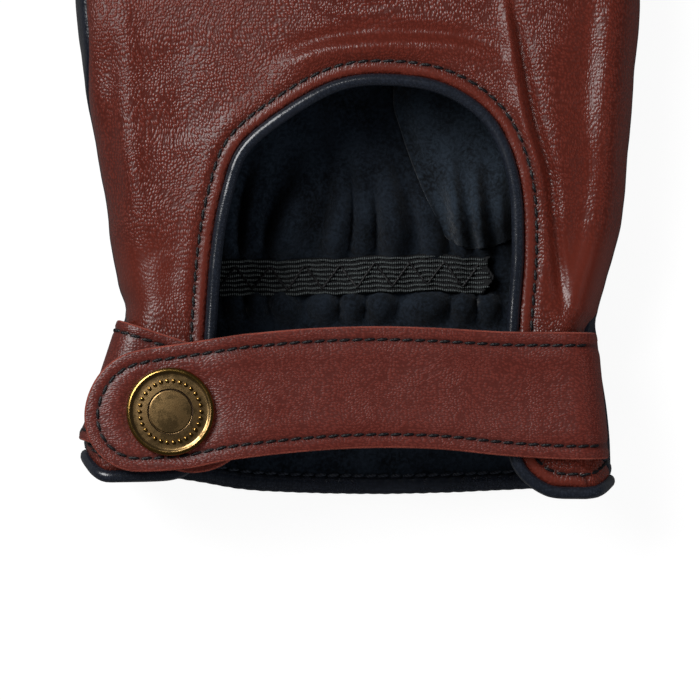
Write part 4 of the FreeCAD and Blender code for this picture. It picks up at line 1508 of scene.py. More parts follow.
@dataclass
class Thumb:
    """The thumb stall beside the palm, in a back half and a palm half."""

    base: tuple = (28.0, 45.0)
    lean: float = 22.0
    length: float = 100.0
    half: float = 11.5
    foot_slimming: float = 3.2
    height: float = 15.6
    lift: float = 0.4
    leather: float = 0.9
    net: float = 1.1

    def __post_init__(self) -> None:
        """Draws the outline and its rim."""
        along = direction(self.lean)
        across = right_of(along)
        base = np.array(self.base)
        tip = base + along * (self.length - self.half)
        turn = np.linspace(math.pi, 0.0, 30)[1:-1, None]
        cap = tip + self.half * (np.cos(turn) * across + np.sin(turn) * along)
        swell = 0.9

        def side(sign: int) -> Grid:
            """One long side, a little slimmer below the tip."""
            out = sign * across
            foot = self.half - (self.foot_slimming if sign > 0 else 0.0)
            return curve([base + out * foot, base + along * 30 + out * (foot + swell),
                          base + along * 62 + out * (self.half - swell), tip + out * self.half],
                         1.1)

        line = np.vstack([side(-1), cap, side(1)[::-1]])
        run = tangents(line)
        out = np.stack([-run[:, 1], run[:, 0]], axis=1)
        count = len(line)
        self.creases = [Fold((tuple(base + along * s - across * 9), tuple(base + along * (s + 1.5)),
                              tuple(base + along * s + across * 9)), rise, 1.0, 0.35)
                        for s, rise in ((48.0, -0.35), (53.0, -0.45), (58.0, -0.3), (72.0, -0.3))]
        self.rim = Rim(line, out, np.full(count, 8.0), np.full(count, 6.0), np.full(count, 88.0),
                       np.zeros(count), self.top, self.relief, base=self.lift, middle=0.5)

    def top(self, places: Grid) -> Grid:
        """Height of the thumb's upper side."""
        return np.full(len(places), self.lift + self.height)

    def relief(self, places: Grid) -> Grid:
        """Creases and soft unevenness."""
        lift = sum(fold.relief(places) for fold in self.creases)
        return lift + 0.22 * ripple(places, 8.0, 12.4) + 0.08 * ripple(places, 3.0, 2.4)

    def build(self, hand: Hand, finish: Finishes) -> None:
        """Makes both halves, cut off where they meet the hand.

        Args:
            hand: the hand that it belongs to.
            finish: the glove's finishes.
        """
        wall = hand.rim.line - hand.rim.out * 0.9
        for name, upper, paint, slot in (("thumb_back", True, finish.back, Slot.BACK),
                                         ("thumb_palm", False, finish.palm, Slot.PALM)):
            seam = self.rim.seam
            if upper:
                rows = self.rim.rows(np.zeros_like(seam), seam, 9)
            else:
                rows = self.rim.rows(seam, np.full_like(seam, 180.0), 9)[::-1]
            inner = rows[0][:, :2]
            plan, triangles = fill([inner], self.net)
            if upper:
                heights = self.top(plan) + self.relief(plan)
            else:
                heights = np.full(len(plan), self.lift) + 0.25 * (1 + ripple(plan, 8.0, 4.4))
            shell = Shell()
            numbers = shell.add(np.column_stack([plan, heights]))
            shell.face(triangles if upper else triangles[:, ::-1])
            shell.grow(numbers[:len(inner)], rows[1:], flip=not upper)
            places = np.vstack(shell.points)
            hidden = inside(places[:, :2], wall)
            kept = [k for k, face in enumerate(shell.faces) if not all(hidden[list(face)])]
            shell.faces = [shell.faces[k] for k in kept]
            shell.paints = [shell.paints[k] for k in kept]
            half = shell.build(f"{name}_leather", [paint, finish.suede, finish.cut_edge])
            tidy(half, closed=False)
            thicken(half, self.leather, 1, 2)
            dress(half, Body.GLOVE, slot, name)


@dataclass
class Slab:
    """A flat piece of leather or tape with soft edges, drawn flat and then laid in its place."""

    ring: Grid
    thickness: float
    net: float
    lay: Callable[[Grid, Grid], Grid]
    relief: Callable[[Grid], Grid]
    edge_round: float = 0.45
    # shares of painted shadow along the stitches, if any
    seam: "Callable[[Grid], Grid] | None" = None

    def build(self, name: str, paints: Sequence[bpy.types.Material]) -> bpy.types.Object:
        """Makes the slab.

        Args:
            name: the object's name.
            paints: materials of the upper side, the edge and the lower side.

        Returns:
            The closed slab.
        """
        squeeze = min(1.0, 0.8 * self.thickness / self.edge_round)
        steps = ((1.0, 0.0), (0.62, 0.08), (0.3, 0.28), (0.08, 0.62), (0.0, 1.0))
        rings = [beside(self.ring, -self.edge_round * inset, closed=True) for inset, _ in steps]
        drops = [self.edge_round * drop * squeeze for _, drop in steps]
        if signed_area(self.ring) > 0:
            raise ValueError(f"{name}: the ring runs the wrong way round")
        plan, triangles = fill([rings[0]], self.net)
        count = len(rings[0])
        lift = self.relief(plan)
        shell = Shell()
        upper = shell.add(self.lay(plan, self.thickness + lift))
        if self.seam:
            shell.mark("seam", upper, self.seam(plan))
        shell.face(upper[triangles])
        last = upper[:count]
        for k, (ring, drop) in enumerate(zip(rings[1:], drops[1:])):
            following = shell.add(self.lay(ring, self.thickness - drop + lift[:count]))
            shell.strip(last, following, closed=True, paint=0 if k < 1 else 1)
            last = following
        under = plan.copy()
        under[:count] = rings[-1]
        lower = shell.add(self.lay(under, np.zeros(len(under))))
        shell.strip(last, lower[:count], closed=True, paint=1)
        shell.face(lower[triangles[:, ::-1]], 2)
        return shell.build(name, paints)


@dataclass
class Gusset:
    """Turned-in leather round the thumb hole, on the inside of the palm."""

    edge: tuple = ((8.0, 57.0), (6.3, 52.0), (7.7, 46.6), (9.3, 41.8), (11.7, 35.8), (13.7, 31.8),
                   (15.6, 27.9), (19.5, 25.9), (24.2, 26.3), (28.0, 28.5), (32.0, 36.0),
                   (33.0, 48.0), (30.0, 57.0), (19.0, 60.0))
    thickness: float = 0.8
    clearance: float = 0.25
    rise: float = 3.4

    def build(self, hand: Hand, finish: Finishes) -> None:
        """Makes the flap, swollen behind its free edge.

        Args:
            hand: the hand that it belongs to.
            finish: the glove's finishes.
        """
        ring = clockwise(curve(self.edge, 1.0, closed=True))
        floor = hand.leather + self.clearance

        def lay(plan: Grid, height: Grid) -> Grid:
            """Lays the flap on the palm."""
            gap, _ = distance_to(plan, ring, closed=True)
            swell = self.rise * ease(0.0, 4.0, gap) * (0.75 + 0.25 * ripple(plan, 9.0, 7.7))
            base = hand.gathers(plan) + floor
            return np.column_stack([plan, base + swell * ease(-0.5, 0.8, height) + height])

        slab = Slab(ring, self.thickness, 1.0, lay, lambda plan: 0.12 * ripple(plan, 4.0, 1.9))
        piece = slab.build("thumb_gusset_flap", [finish.flap] * 3)
        dress(piece, Body.GLOVE, Slot.PALM, "thumb_gusset")


@dataclass
class Elastic:
    """Ribbed elastic tape that gathers the palm, zigzag-stitched, with one frayed end."""

    left: float = -29.0
    right: float = 23.3
    middle: float = 21.1
    width: float = 6.6
    thickness: float = 1.1
    ribs: int = 8
    rib: tuple = (0.21, 0.26)
    rib_lift: float = 0.78
    zigzag: tuple = (0.2, 0.14)
    zigzag_step: float = 3.1
    zigzag_lift: float = 1.05

    def lay(self, plan: Grid, height: Grid) -> Grid:
        """Lays the tape over the gathers, with its right end bent up a little.

        Args:
            plan: places on the flat layer.
            height: height over the layer's lower side.

        Returns:
            The places on the palm.
        """
        x, y = plan[:, 0], plan[:, 1]
        sag = 0.45 * np.sin(x / 11.0) - 0.5 * ease(12.0, 24.0, x)
        wave = 0.28 * np.sin(x / 2.1) + 0.18 * np.sin(x / 0.9 + 1.0)
        tip = ease(20.5, 23.3, x)
        return np.column_stack([x + 0.5 * tip * np.sin(y * 1.3), y + sag + 0.12 * np.sin(x / 1.7),
                                2.1 + wave + 1.1 * tip + height])

    def build(self, finish: Finishes) -> None:
        """Makes the tape, its ribs, its zigzag and its frayed end.

        Args:
            finish: the glove's finishes.
        """
        low, high = self.middle - self.width / 2, self.middle + self.width / 2
        ring = even(np.array([[self.left, low], [self.left, high], [self.right, high + 0.2],
                              [self.right + 0.6, self.middle], [self.right - 0.4, low]]), 0.6, True)
        slab = Slab(ring, self.thickness * 0.6, 0.7, self.lay, level)
        ground = slab.build("elastic_ground", [finish.tape_ground] * 3)
        dress(ground, Body.GLOVE, Slot.ELASTIC, "palm_elastic")
        shell = Shell()
        section = oval(*self.rib, 8)
        for k in range(self.ribs):
            y = low + self.width * (k + 0.5) / self.ribs
            stop = self.right - 0.3 + 0.7 * math.sin(2.3 * k)
            x = np.arange(self.left + 0.3, stop, 0.45)
            plan = np.column_stack([x, np.full_like(x, y) + 0.07 * np.sin(1.9 * x + k)])
            path = self.lay(plan, self.rib_lift + 0.10 * np.sin(4.4 * x + 2.6 * k))
            bar = sweep(path, facing_up(len(x)), section, taper=0.5)
            shell.join(np.vstack(bar.points), bar.faces)
        ribs = shell.build("elastic_ribs", [finish.tape])
        tidy(ribs)
        dress(ribs, Body.GLOVE, Slot.ELASTIC)
        self.build_zigzag(finish)

    def build_zigzag(self, finish: Finishes) -> None:
        """Dark zigzag over the ribs.

        Args:
            finish: the glove's finishes.
        """
        half = self.width / 2 - 1.2
        corners, sign, x = [], 1, self.left + 1.0
        while x < self.right - 1.2:
            corners.append((x, self.middle + sign * half))
            sign, x = -sign, x + self.zigzag_step
        line = even(np.array(corners), 0.5)
        path = self.lay(line, self.zigzag_lift + 0.08 * np.sin(5.0 * line[:, 0]))
        bar = sweep(path, facing_up(len(line)), oval(*self.zigzag, 8), taper=0.5)
        zigzag = bar.build("elastic_zigzag", [finish.dark_thread])
        tidy(zigzag)
        dress(zigzag, Body.GLOVE, Slot.DARK_THREAD, "elastic_stitching")


# ---- strap and stud tab


@dataclass
class Route:
    """The bent line that a strap follows, seen from the side, from its free end to its root."""

    corners: tuple
    radii: tuple
    step: float = 0.5
    reach: float = 0.4

    def __post_init__(self) -> None:
        """Samples the line with its rounded corners."""
        points = [np.array(corner, float) for corner in self.corners]
        rows = [points[0][None, :]]
        for before, here, after, radius in zip(points, points[1:], points[2:], self.radii):
            back, ahead = before - here, after - here
            back, ahead = back / np.linalg.norm(back), ahead / np.linalg.norm(ahead)
            half = math.acos(float(np.clip(back @ ahead, -1, 1))) / 2
            reach = radius / math.tan(half)
            bisector = back + ahead
            centre = here + bisector / np.linalg.norm(bisector) * radius / math.sin(half)
            start, end = here + back * reach, here + ahead * reach
            first = math.atan2(*(start - centre)[::-1])
            sweep_by = math.atan2(*(end - centre)[::-1]) - first
            sweep_by = (sweep_by + math.pi) % (2 * math.pi) - math.pi
            count = max(4, int(abs(sweep_by) * radius / self.step))
            turn = first + sweep_by * np.linspace(0, 1, count + 1)[:, None]
            rows.append(centre + radius * np.hstack([np.cos(turn), np.sin(turn)]))
        rows.append(points[-1][None, :])
        self.line = np.vstack(rows)
        self.run = np.concatenate([[0.0], np.cumsum(
            np.linalg.norm(np.diff(self.line, axis=0), axis=1))])
        self.run += self.line[0, 0]

    def at(self, run: Grid, height: Grid) -> tuple[Grid, Grid]:
        """Place across and height of points at a run along the line, raised off it.

        Args:
            run: distance along the line, measured so that it starts at the free end's place.
            height: distance over the line.

        Returns:
            The places across and the heights.
        """
        def on_line(place: Grid) -> Grid:
            """Places across and heights of the line itself."""
            return np.stack([np.interp(place, self.run, self.line[:, k]) for k in (0, 1)])

        x, z = on_line(run)
        dx, dz = (on_line(np.minimum(run + self.reach, self.run[-1]))
                  - on_line(np.maximum(run - self.reach, self.run[0])))
        size = np.maximum(np.hypot(dx, dz), 1e-9)
        return x - dz / size * height, z + dx / size * height


def turned(x: Grid, y: Grid, degrees: float) -> tuple[Grid, Grid]:
    """Plane places turned about the origin."""
    cosine, sine = math.cos(math.radians(degrees)), math.sin(math.radians(degrees))
    return x * cosine - y * sine, x * sine + y * cosine


def on_back(places: Grid, hand: Hand) -> Grid:
    """Places drawn over a level back, laid on the hand's tilted back plane.

    Args:
        places: places in the plane.
        hand: the hand that it belongs to.

    Returns:
        The laid places.
    """
    tilt = math.atan(hand.back_fall)
    y, z = places[:, 1], places[:, 2]
    return np.column_stack([places[:, 0], y * math.cos(tilt) + z * math.sin(tilt),
                            hand.wrist_height - y * math.sin(tilt) + z * math.cos(tilt)])


class Flap:
    """Two plies of leather with one outline, which bend out of the hand's side seam."""

    name: ClassVar[str]
    hinge: ClassVar[Root]
    ring: Grid
    ply: float
    stitch_inset: float

    def lay(self, hand: Hand, base: float) -> Callable[[Grid, Grid], Grid]:
        """The way a layer is laid; base is the height of its lower side over the lining's."""
        raise NotImplementedError

    def relief(self, plan: Grid) -> Grid:
        """Relief of the outer ply."""
        raise NotImplementedError

    def free(self, plan: Grid) -> Grid:
        """Whether each place is far enough from the root to be stitched."""
        raise NotImplementedError

    def stitch_shade_share(self, plan: Grid) -> Grid:
        """How near each place is to the stitches, where a shadow is painted."""
        gap, _ = distance_to(plan, self.ring, closed=True)
        return bump(gap - self.stitch_inset, 0.5)

    def build(self, hand: Hand, finish: Finishes) -> None:
        """Makes both plies.

        Args:
            hand: the hand that it belongs to.
            finish: the glove's finishes.
        """
        outer = Slab(self.ring, self.ply, 0.6, self.lay(hand, self.ply), self.relief,
                     seam=self.stitch_shade_share)
        piece = outer.build(f"{self.name}_outer_ply",
                            [finish.strap, finish.cut_edge, finish.flesh])
        dress(piece, self.hinge, Slot.BACK, f"{self.name}_outer")
        lining = Slab(self.ring, self.ply, 1.3, self.lay(hand, 0.0), level, edge_round=0.25)
        piece = lining.build(f"{self.name}_lining_ply",
                             [finish.flesh, finish.cut_edge, finish.strap])
        dress(piece, self.hinge, Slot.LINING, f"{self.name}_lining")


@dataclass
class Strap(Flap):
    """The wrist strap: two plies of leather from the thumb side's seam over to the stud."""

    name: ClassVar[str] = "strap"
    hinge: ClassVar[Root] = Root(Body.STRAP, (41.5, 0.0, 14.0), (38.5, 0.0, 22.5))
    ply: float = 0.8
    root: float = 41.25
    lean: float = 5.5
    rest: float = 1.0
    stud_height: float = 5.2
    flat_end: float = -22.0
    slope_foot: float = 27.0
    seam_depth: float = 8.0
    bend: float = 3.6
    gentle: float = 60.0
    stitch_inset: float = 2.35
    stud: tuple = (-32.6, -3.0)
    outline: tuple = ((-20.0, 10.55), (-8.6, 11.55), (3.0, 11.95), (14.0, 11.7), (26.0, 11.1),
                      (37.0, 11.0), (48.0, 11.0))
    lower: tuple = ((48.0, -10.6), (38.0, -11.3), (26.0, -10.7), (14.0, -9.5), (2.0, -9.3),
                    (-10.0, -10.0), (-22.0, -11.4), (-29.0, -12.8), (-35.6, -13.4), (-40.4, -13.2),
                    (-44.0, -11.4), (-46.6, -8.2), (-47.6, -4.2), (-47.0, -0.2), (-45.0, 3.6),
                    (-42.0, 6.3), (-38.0, 7.8), (-30.0, 9.0))

    def __post_init__(self) -> None:
        """Draws the route and the outline."""
        self.route = Route(((-60.0, self.stud_height), (self.flat_end, self.stud_height),
                            (self.slope_foot, self.rest), (self.root, self.rest),
                            (self.root, -self.seam_depth)),
                           (self.gentle, self.gentle, self.bend))
        end = float(self.route.run[-1])
        top = curve(self.outline, 0.8)
        low = curve([*self.lower, self.outline[0]], 0.8)
        reach = np.array([[end, 11.0], [end, -10.6]])
        ring = np.vstack([top, reach, low[:-1]])
        ring = even(ring, 0.8, closed=True)
        self.ring = clockwise(ring)

    def lay(self, hand: Hand, base: float) -> Callable[[Grid, Grid], Grid]:
        """The way a flat layer is laid along the route."""
        def place(plan: Grid, height: Grid) -> Grid:
            """Lays points of the layer."""
            x, z = self.route.at(plan[:, 0], height + base)
            return on_back(self.leaned(x, plan[:, 1], z), hand)
        return place

    def free(self, plan: Grid) -> Grid:
        """Whether each place is far enough from the root to be stitched."""
        return plan[:, 0] < self.root - 1.0

    def leaned(self, x: Grid, y: Grid, z: Grid) -> Grid:
        """Shears the root so that it follows the hand's side."""
        share = ease(8.0, self.root, x)
        return np.column_stack([x - share * y * math.tan(math.radians(self.lean)), y, z])

    def relief(self, plan: Grid) -> Grid:
        """Grooves of the stitching, the puffed margin and the seat of the cap.

        Args:
            plan: places on the flat layer.

        Returns:
            The heights.
        """
        gap, _ = distance_to(plan, self.ring, closed=True)
        cap = np.hypot(plan[:, 0] - self.stud[0], plan[:, 1] - self.stud[1])
        lift = -0.26 * bump(gap - self.stitch_inset, 0.42) + 0.12 * bump(gap - 1.2, 0.7)
        lift = lift + 0.22 * bump(gap - 4.6, 1.6) - 0.3 * bump(cap - 7.6, 1.3)
        return lift + 0.10 * ripple(plan, 6.0, 4.1) + 0.04 * ripple(plan, 2.4, 6.6)


@dataclass
class Tab(Flap):
    """The short stud tab under the strap's free end."""

    name: ClassVar[str] = "tab"
    hinge: ClassVar[Root] = Root(Body.TAB, (-45.5, 3.4, 13.8), (-42.0, 4.5, 22.2))
    ply: float = 0.8
    width: float = 22.0
    end: tuple = (-28.8, -2.6)
    slant: float = -18.0
    length: float = 16.0
    lift: float = 1.0
    seam_depth: float = 8.0
    bend: float = 3.2
    stitch_inset: float = 1.9

    def __post_init__(self) -> None:
        """Draws the route and the outline in the tab's own frame."""
        self.route = Route(((-self.length, -self.seam_depth), (-self.length, self.lift),
                            (self.width, self.lift)), (self.bend,))
        start, half = float(self.route.run[0]), self.width / 2
        shift = float(np.interp(0.0, self.route.line[:, 0], self.route.run))
        turn = np.linspace(math.pi / 2, -math.pi / 2, 40)[:, None]
        nose = np.hstack([shift + half * np.cos(turn), half * np.sin(turn)])
        ring = np.vstack([[[start, -half], [start, half]], nose])
        self.ring = clockwise(even(ring, 0.8, closed=True))

    def lay(self, hand: Hand, base: float) -> Callable[[Grid, Grid], Grid]:
        """The way a flat layer is laid along the route."""
        def place(plan: Grid, height: Grid) -> Grid:
            """Lays points of the layer."""
            x, z = self.route.at(plan[:, 0], height + base)
            x, y = turned(x, plan[:, 1], self.slant)
            return on_back(np.column_stack([self.end[0] + x, self.end[1] + y, z]), hand)
        return place

    def free(self, plan: Grid) -> Grid:
        """Whether each place is far enough from the root to be stitched."""
        return plan[:, 0] > -self.length + 1.0

    def relief(self, plan: Grid) -> Grid:
        """Grooves of the stitching."""
        gap, _ = distance_to(plan, self.ring, closed=True)
        return (-0.22 * bump(gap - self.stitch_inset, 0.4) + 0.1 * bump(gap - 0.9, 0.5)
                + 0.06 * ripple(plan, 4.0, 9.3))


# ---- stitching


@dataclass
class Stitching:
    """Rows of saddle stitches, modelled once and copied along each seam."""

    pitch: float = 2.2
    length: float = 2.0
    width: float = 0.56
    height: float = 0.46
    twist: float = 7.0
    dip: float = 0.16
    proud: float = 0.18
    flap_proud: float = 0.15
    hem_inset: float = 2.75
    hem_lift: float = 1.95

    def __post_init__(self) -> None:
        """Models one stitch: a stretched bead whose ends dip into the leather."""
        bpy.ops.object.select_all(action="DESELECT")
        bpy.ops.mesh.primitive_uv_sphere_add(segments=10, ring_count=6, radius=1.0,
                                             rotation=(0.0, math.pi / 2, 0.0))
        bead = bpy.context.object
        bpy.ops.object.transform_apply(rotation=True)
        places = np.array([v.co[:] for v in bead.data.vertices])
        self.faces = [tuple(p.vertices) for p in bead.data.polygons]
        bpy.data.objects.remove(bead)
        along = np.sign(places[:, 0]) * np.abs(places[:, 0]) ** 0.7
        self.bead = np.column_stack([along * self.length / 2, places[:, 1] * self.width / 2,
                                     places[:, 2] * self.height / 2 - self.dip * along ** 2])

    def row(self, path: Grid, up: Grid) -> Shell:
        """A row of stitches.

        Args:
            path: places along the seam.
            up: the way the leather faces at each place.

        Returns:
            The stitches, each a closed bead.
        """
        shell = Shell()
        spaced = even(np.hstack([path, up]), self.pitch)
        line, facing = spaced[:, :3], spaced[:, 3:]
        facing = facing / np.linalg.norm(facing, axis=1, keepdims=True)
        along = tangents(line)
        turn = math.radians(self.twist)
        for place, ahead, lift in zip(line, along, facing):
            ahead = ahead - lift * (ahead @ lift)
            ahead = ahead / np.linalg.norm(ahead)
            side = np.cross(lift, ahead)
            first = ahead * math.cos(turn) + side * math.sin(turn)
            second = side * math.cos(turn) - ahead * math.sin(turn)
            axes = np.stack([first, second, lift])
            shell.join(place + self.bead @ axes, self.faces)
        return shell

    def build_hand(self, hand: Hand, finish: Finishes) -> None:
        """The row beside the keyhole and the row of the palm's hem.

        Args:
            hand: the hand that it belongs to.
            finish: the glove's finishes.
        """
        line = even(beside(hand.edge, -hand.stitch_inset), 0.8)
        top = hand.cuff_lift(hand.on_top(line, self.proud))
        right, right_up = hand.cuff_corner(-1, hand.stitch_inset, self.proud)
        left, left_up = hand.cuff_corner(0, hand.stitch_inset, self.proud)
        row = self.row(np.vstack([right[::-1], top, left]),
                       np.vstack([right_up[::-1], facing_up(len(top)), left_up]))
        piece = row.build("keyhole_stitch_row", [finish.dark_thread])
        dress(piece, Body.GLOVE, Slot.DARK_THREAD, "keyhole_stitching")
        hem = even(beside(curve(hand.palm_edge[::-1], 1.0), self.hem_inset), 0.8)
        path = np.column_stack([hem, hand.gathers(hem) + self.hem_lift])[3:-3]
        piece = self.row(path, facing_up(len(path))).build("hem_stitch_row", [finish.navy_thread])
        dress(piece, Body.GLOVE, Slot.NAVY_THREAD, "palm_cuff_stitching")

    def build_flap(self, flap: Flap, hand: Hand, finish: Finishes) -> None:
        """The row all round a strap or a tab, as far as its root.

        Args:
            flap: the strap or the tab.
            hand: the hand that it belongs to.
            finish: the glove's finishes.
        """
        lay = flap.lay(hand, flap.ply)
        line = even(beside(flap.ring, -flap.stitch_inset, closed=True), 0.8, closed=True)
        stitched = flap.free(line)
        first = int(np.flatnonzero(~stitched)[0])
        line = np.roll(line, -first, axis=0)[np.roll(stitched, -first)]
        lift = flap.relief(line) + flap.ply + self.flap_proud
        low = lay(line, lift)
        piece = self.row(low, lay(line, lift + 1.0) - low).build(
            f"{flap.name}_stitch_row", [finish.dark_thread])
        dress(piece, flap.hinge, Slot.DARK_THREAD, f"{flap.name}_stitching")


# ---- press stud


@dataclass
class SnapCap:
    """The domed cap of the press stud, with a rolled rim and plain turned rings."""

    centre: tuple = (-32.6, -3.0)
    radius: float = 7.7
    base: float = 6.72
    height: float = 1.25
    roll: float = 0.62
    dome: float = 0.22
    rim_width: float = 0.75
    step_inset: float = 1.35
    groove: tuple = (3.78, 4.12)
    segments: int = 96
    pearls: int = 30
    pearl: float = 0.36
    pearl_ring: float = 5.35
    pearl_height: float = 7.93

    def build(self, hand: Hand, finish: Finishes) -> None:
        """Turns the cap from a disc: bevelled rim, dished face, engraved rings.

        Args:
            hand: the hand that it belongs to.
            finish: the glove's finishes.
        """
        bpy.ops.object.select_all(action="DESELECT")
        bpy.ops.mesh.primitive_cylinder_add(vertices=self.segments, radius=self.radius * MM,
                                            depth=self.height * MM,
                                            location=(0.0, 0.0, self.height * MM / 2))
        cap = bpy.context.object
        cap.name = cap.data.name = "snap_cap_turned"
        bpy.ops.object.transform_apply(location=True, rotation=True, scale=True)
        bpy.ops.object.mode_set(mode="EDIT")
        made = bmesh.from_edit_mesh(cap.data)
        for face in made.faces:
            face.select = face.normal.z > 0.9
        bmesh.update_edit_mesh(cap.data)
        cuts = ((0.10, 0.0), (0.14, 0.0), (0.22, 0.02), (0.22, 0.0), (0.16, -0.10), (0.24, -0.16),
                (0.18, -0.03), (0.6, 0.02), (0.9, 0.03), (0.93, 0.02), (0.06, 0.0), (0.10, -0.15),
                (0.12, 0.0), (0.10, 0.15), (0.06, 0.0), (0.9, 0.03), (1.2, 0.03), (1.2, 0.02))
        for inset, rise in cuts:
            bpy.ops.mesh.inset(thickness=inset * MM, depth=rise * MM)
        bpy.ops.object.mode_set(mode="OBJECT")
        self.shape(cap, hand)
        for paint in (finish.brass, finish.brass_rim, finish.brass_dark):
            cap.data.materials.append(paint)
        self.paint_rings(cap, hand)
        self.add_pearls(cap, hand, finish)
        for polygon in cap.data.polygons:
            polygon.use_smooth = True
        dress(cap, Body.STRAP, Slot.BRASS, "snap_cap")

    def shape(self, cap: bpy.types.Object, hand: Hand) -> None:
        """Rounds the rim over and sets the cap on the strap.

        Args:
            cap: the turned cap.
            hand: the hand that it belongs to.
        """
        places = np.array([v.co[:] for v in cap.data.vertices]) / MM
        out = np.hypot(places[:, 0], places[:, 1])
        upper = places[:, 2] > self.height * 0.5
        past = (out - (self.radius - self.roll)) / self.roll
        drop = self.roll * (1 - np.sqrt(np.clip(1 - past ** 2, 0, 1)))
        places[:, 2] -= np.where(upper & (past > 0), np.minimum(drop, self.roll), 0.0)
        dome = np.clip(1 - (out / (self.radius - 1.5)) ** 2, 0, 1)
        places[:, 2] += np.where(upper, self.dome * dome, 0.0)
        places += np.array([self.centre[0], self.centre[1], self.base])
        for vertex, place in zip(cap.data.vertices, on_back(places, hand) * MM):
            vertex.co = place

    def add_pearls(self, cap: bpy.types.Object, hand: Hand, finish: Finishes) -> None:
        """Sets a ring of small pearls into the face, between the two engraved rings.

        Args:
            cap: the turned cap.
            hand: the hand that it belongs to.
            finish: the glove's finishes.
        """
        bpy.ops.object.select_all(action="DESELECT")
        bpy.ops.mesh.primitive_uv_sphere_add(segments=14, ring_count=8, radius=self.pearl * MM)
        first = bpy.context.object
        bpy.ops.transform.resize(value=(1.0, 1.0, 0.8))
        bpy.ops.object.transform_apply(scale=True)
        first.data.materials.append(finish.brass_rim)
        pearls = [first]
        for k in range(1, self.pearls):
            pearl = first.copy()
            pearl.data = first.data.copy()
            bpy.context.collection.objects.link(pearl)
            pearls.append(pearl)
        for k, pearl in enumerate(pearls):
            turn = 2 * math.pi * k / self.pearls
            place = np.array([[self.centre[0] + self.pearl_ring * math.cos(turn),
                               self.centre[1] + self.pearl_ring * math.sin(turn),
                               self.pearl_height]])
            pearl.location = Vector(on_back(place, hand)[0]) * MM
            pearl.select_set(True)
        cap.select_set(True)
        bpy.context.view_layer.objects.active = cap
        bpy.ops.object.join()

    def paint_rings(self, cap: bpy.types.Object, hand: Hand) -> None:
        """Gives the rim its rubbed finish and the groove its dark one.

        Args:
            cap: the turned cap.
            hand: the hand that it belongs to.
        """
        middle = on_back(np.array([[*self.centre, self.base]]), hand)[0] * MM
        for polygon in cap.data.polygons:
            out = (polygon.center - Vector(middle)).xy.length / MM
            near_step = abs(out - (self.radius - self.step_inset)) < 0.12
            if out > self.radius - self.rim_width:
                polygon.material_index = 1
            elif self.groove[0] < out < self.groove[1] or near_step:
                polygon.material_index = 2


def dress_stud(finish: Finishes) -> None:
    """Brass finish for the hidden parts of the press stud, which keep their turned shapes.

    Args:
        finish: the glove's finishes.
    """
    for node in ("snap_socket", "snap_stud", "snap_post", "snap_spring"):
        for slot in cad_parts[node].material_slots:
            slot.material = finish.brass
        log.info("%s: brass", node)


# ---- studio


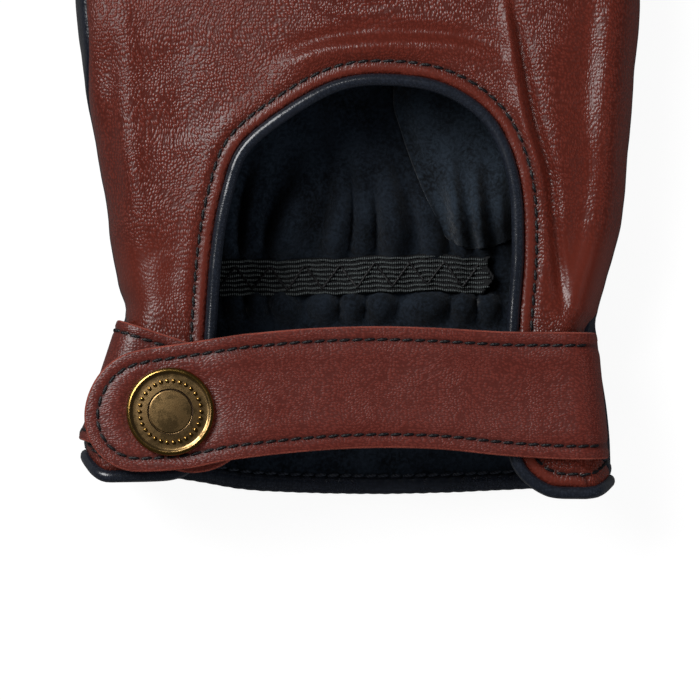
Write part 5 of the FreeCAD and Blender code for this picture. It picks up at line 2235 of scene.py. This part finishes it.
@dataclass
class Studio:
    """Plain pale floor, soft light from the upper left, and a camera that looks straight down."""

    centre: tuple = (-1.4, 7.9)
    view_width: float = 122.5
    distance: float = 1200.0
    sensor: float = 36.0
    target_height: float = 20.0
    floor_gap: float = 0.3
    floor_tone: float = 0.14
    floor_glow: float = 0.9
    world_strength: float = 0.04

    def build(self) -> None:
        """Sets up the floor, the lamps, the world and the camera."""
        scene = bpy.context.scene
        scene.view_settings.view_transform = "Standard"
        self.build_floor()
        self.build_world(scene)
        self.lamp("key", (-340.0, 290.0, 480.0), 340.0, 4.8)
        self.lamp("right_fill", (560.0, -60.0, 460.0), 420.0, 2.5, gleam=False)
        self.lamp("near_fill", (-100.0, -620.0, 520.0), 420.0, 1.2, gleam=False)
        view = bpy.data.cameras.new("camera")
        view.sensor_width = self.sensor
        view.lens = self.sensor * self.distance / self.view_width
        view.clip_start, view.clip_end = 0.01, 20.0
        camera = bpy.data.objects.new("camera", view)
        camera.location = Vector((*self.centre, self.target_height + self.distance)) * MM
        scene.collection.objects.link(camera)
        scene.camera = camera

    def build_floor(self) -> None:
        """A wide white table that keeps the glove's shadow."""
        bpy.ops.object.select_all(action="DESELECT")
        low = CAD_BOX[0][2] - self.floor_gap * MM
        bpy.ops.mesh.primitive_plane_add(size=8.0, location=(0.0, 0.0, low))
        floor = bpy.context.object
        floor.name = "floor"
        bench = Bench("white_table")
        bench.set(Roughness=0.9, Specular_IOR_Level=0.1, Base_Color=(*(self.floor_tone,) * 3, 1.0))
        rays = bench.tree.nodes.new("ShaderNodeLightPath")
        glow = bench.tree.nodes.new("ShaderNodeEmission")
        seen = bench.span(rays.outputs["Is Camera Ray"], 0.0, 1.0, 0.0, self.floor_glow, False)
        bench.link(seen, glow.inputs["Strength"])
        both = bench.tree.nodes.new("ShaderNodeAddShader")
        bench.link(bench.shader.outputs[0], both.inputs[0])
        bench.link(glow.outputs[0], both.inputs[1])
        bench.link(both.outputs[0], bench.out.inputs["Surface"])
        floor.data.materials.append(bench.paint)

    def build_world(self, scene: bpy.types.Scene) -> None:
        """Even soft light from all round.

        Args:
            scene: the scene.
        """
        world = bpy.data.worlds.new("studio")
        world.use_nodes = True
        back = world.node_tree.nodes["Background"]
        back.inputs["Color"].default_value = (1.0, 1.0, 1.0, 1.0)
        back.inputs["Strength"].default_value = self.world_strength
        scene.world = world

    def lamp(self, name: str, place: tuple, size: float, power: float, gleam: bool = True) -> None:
        """A square soft box aimed at the glove; without gleam it leaves no reflection.

        Args:
            name: the lamp's name.
            place: where it hangs.
            size: side of the soft box.
            power: in watts.
            gleam: whether the leather reflects it.
        """
        light = bpy.data.lights.new(name, "AREA")
        light.shape = "SQUARE"
        light.size = size * MM
        light.energy = power
        lamp = bpy.data.objects.new(name, light)
        lamp.location = Vector(place) * MM
        aim = Vector((*self.centre, self.target_height)) * MM - lamp.location
        lamp.rotation_euler = aim.to_track_quat("-Z", "Y").to_euler()
        lamp.visible_glossy = gleam
        bpy.context.scene.collection.objects.link(lamp)


def main() -> None:
    """Builds the glove piece by piece."""
    logging.basicConfig(level=logging.INFO, format="%(name)s: %(message)s")
    Studio().build()
    finish = Finishes()
    hand = Hand()
    hand.build_back(finish)
    hand.build_palm(finish)
    hand.build_fourchettes(finish)
    hand.build_piping(finish)
    hand.build_binding(finish)
    Thumb().build(hand, finish)
    Gusset().build(hand, finish)
    Elastic().build(finish)
    flaps = (Strap(), Tab())
    for flap in flaps:
        flap.build(hand, finish)
    stitching = Stitching()
    stitching.build_hand(hand, finish)
    for flap in flaps:
        stitching.build_flap(flap, hand, finish)
    SnapCap().build(hand, finish)
    dress_stud(finish)


if __name__ == "__main__":
    main()
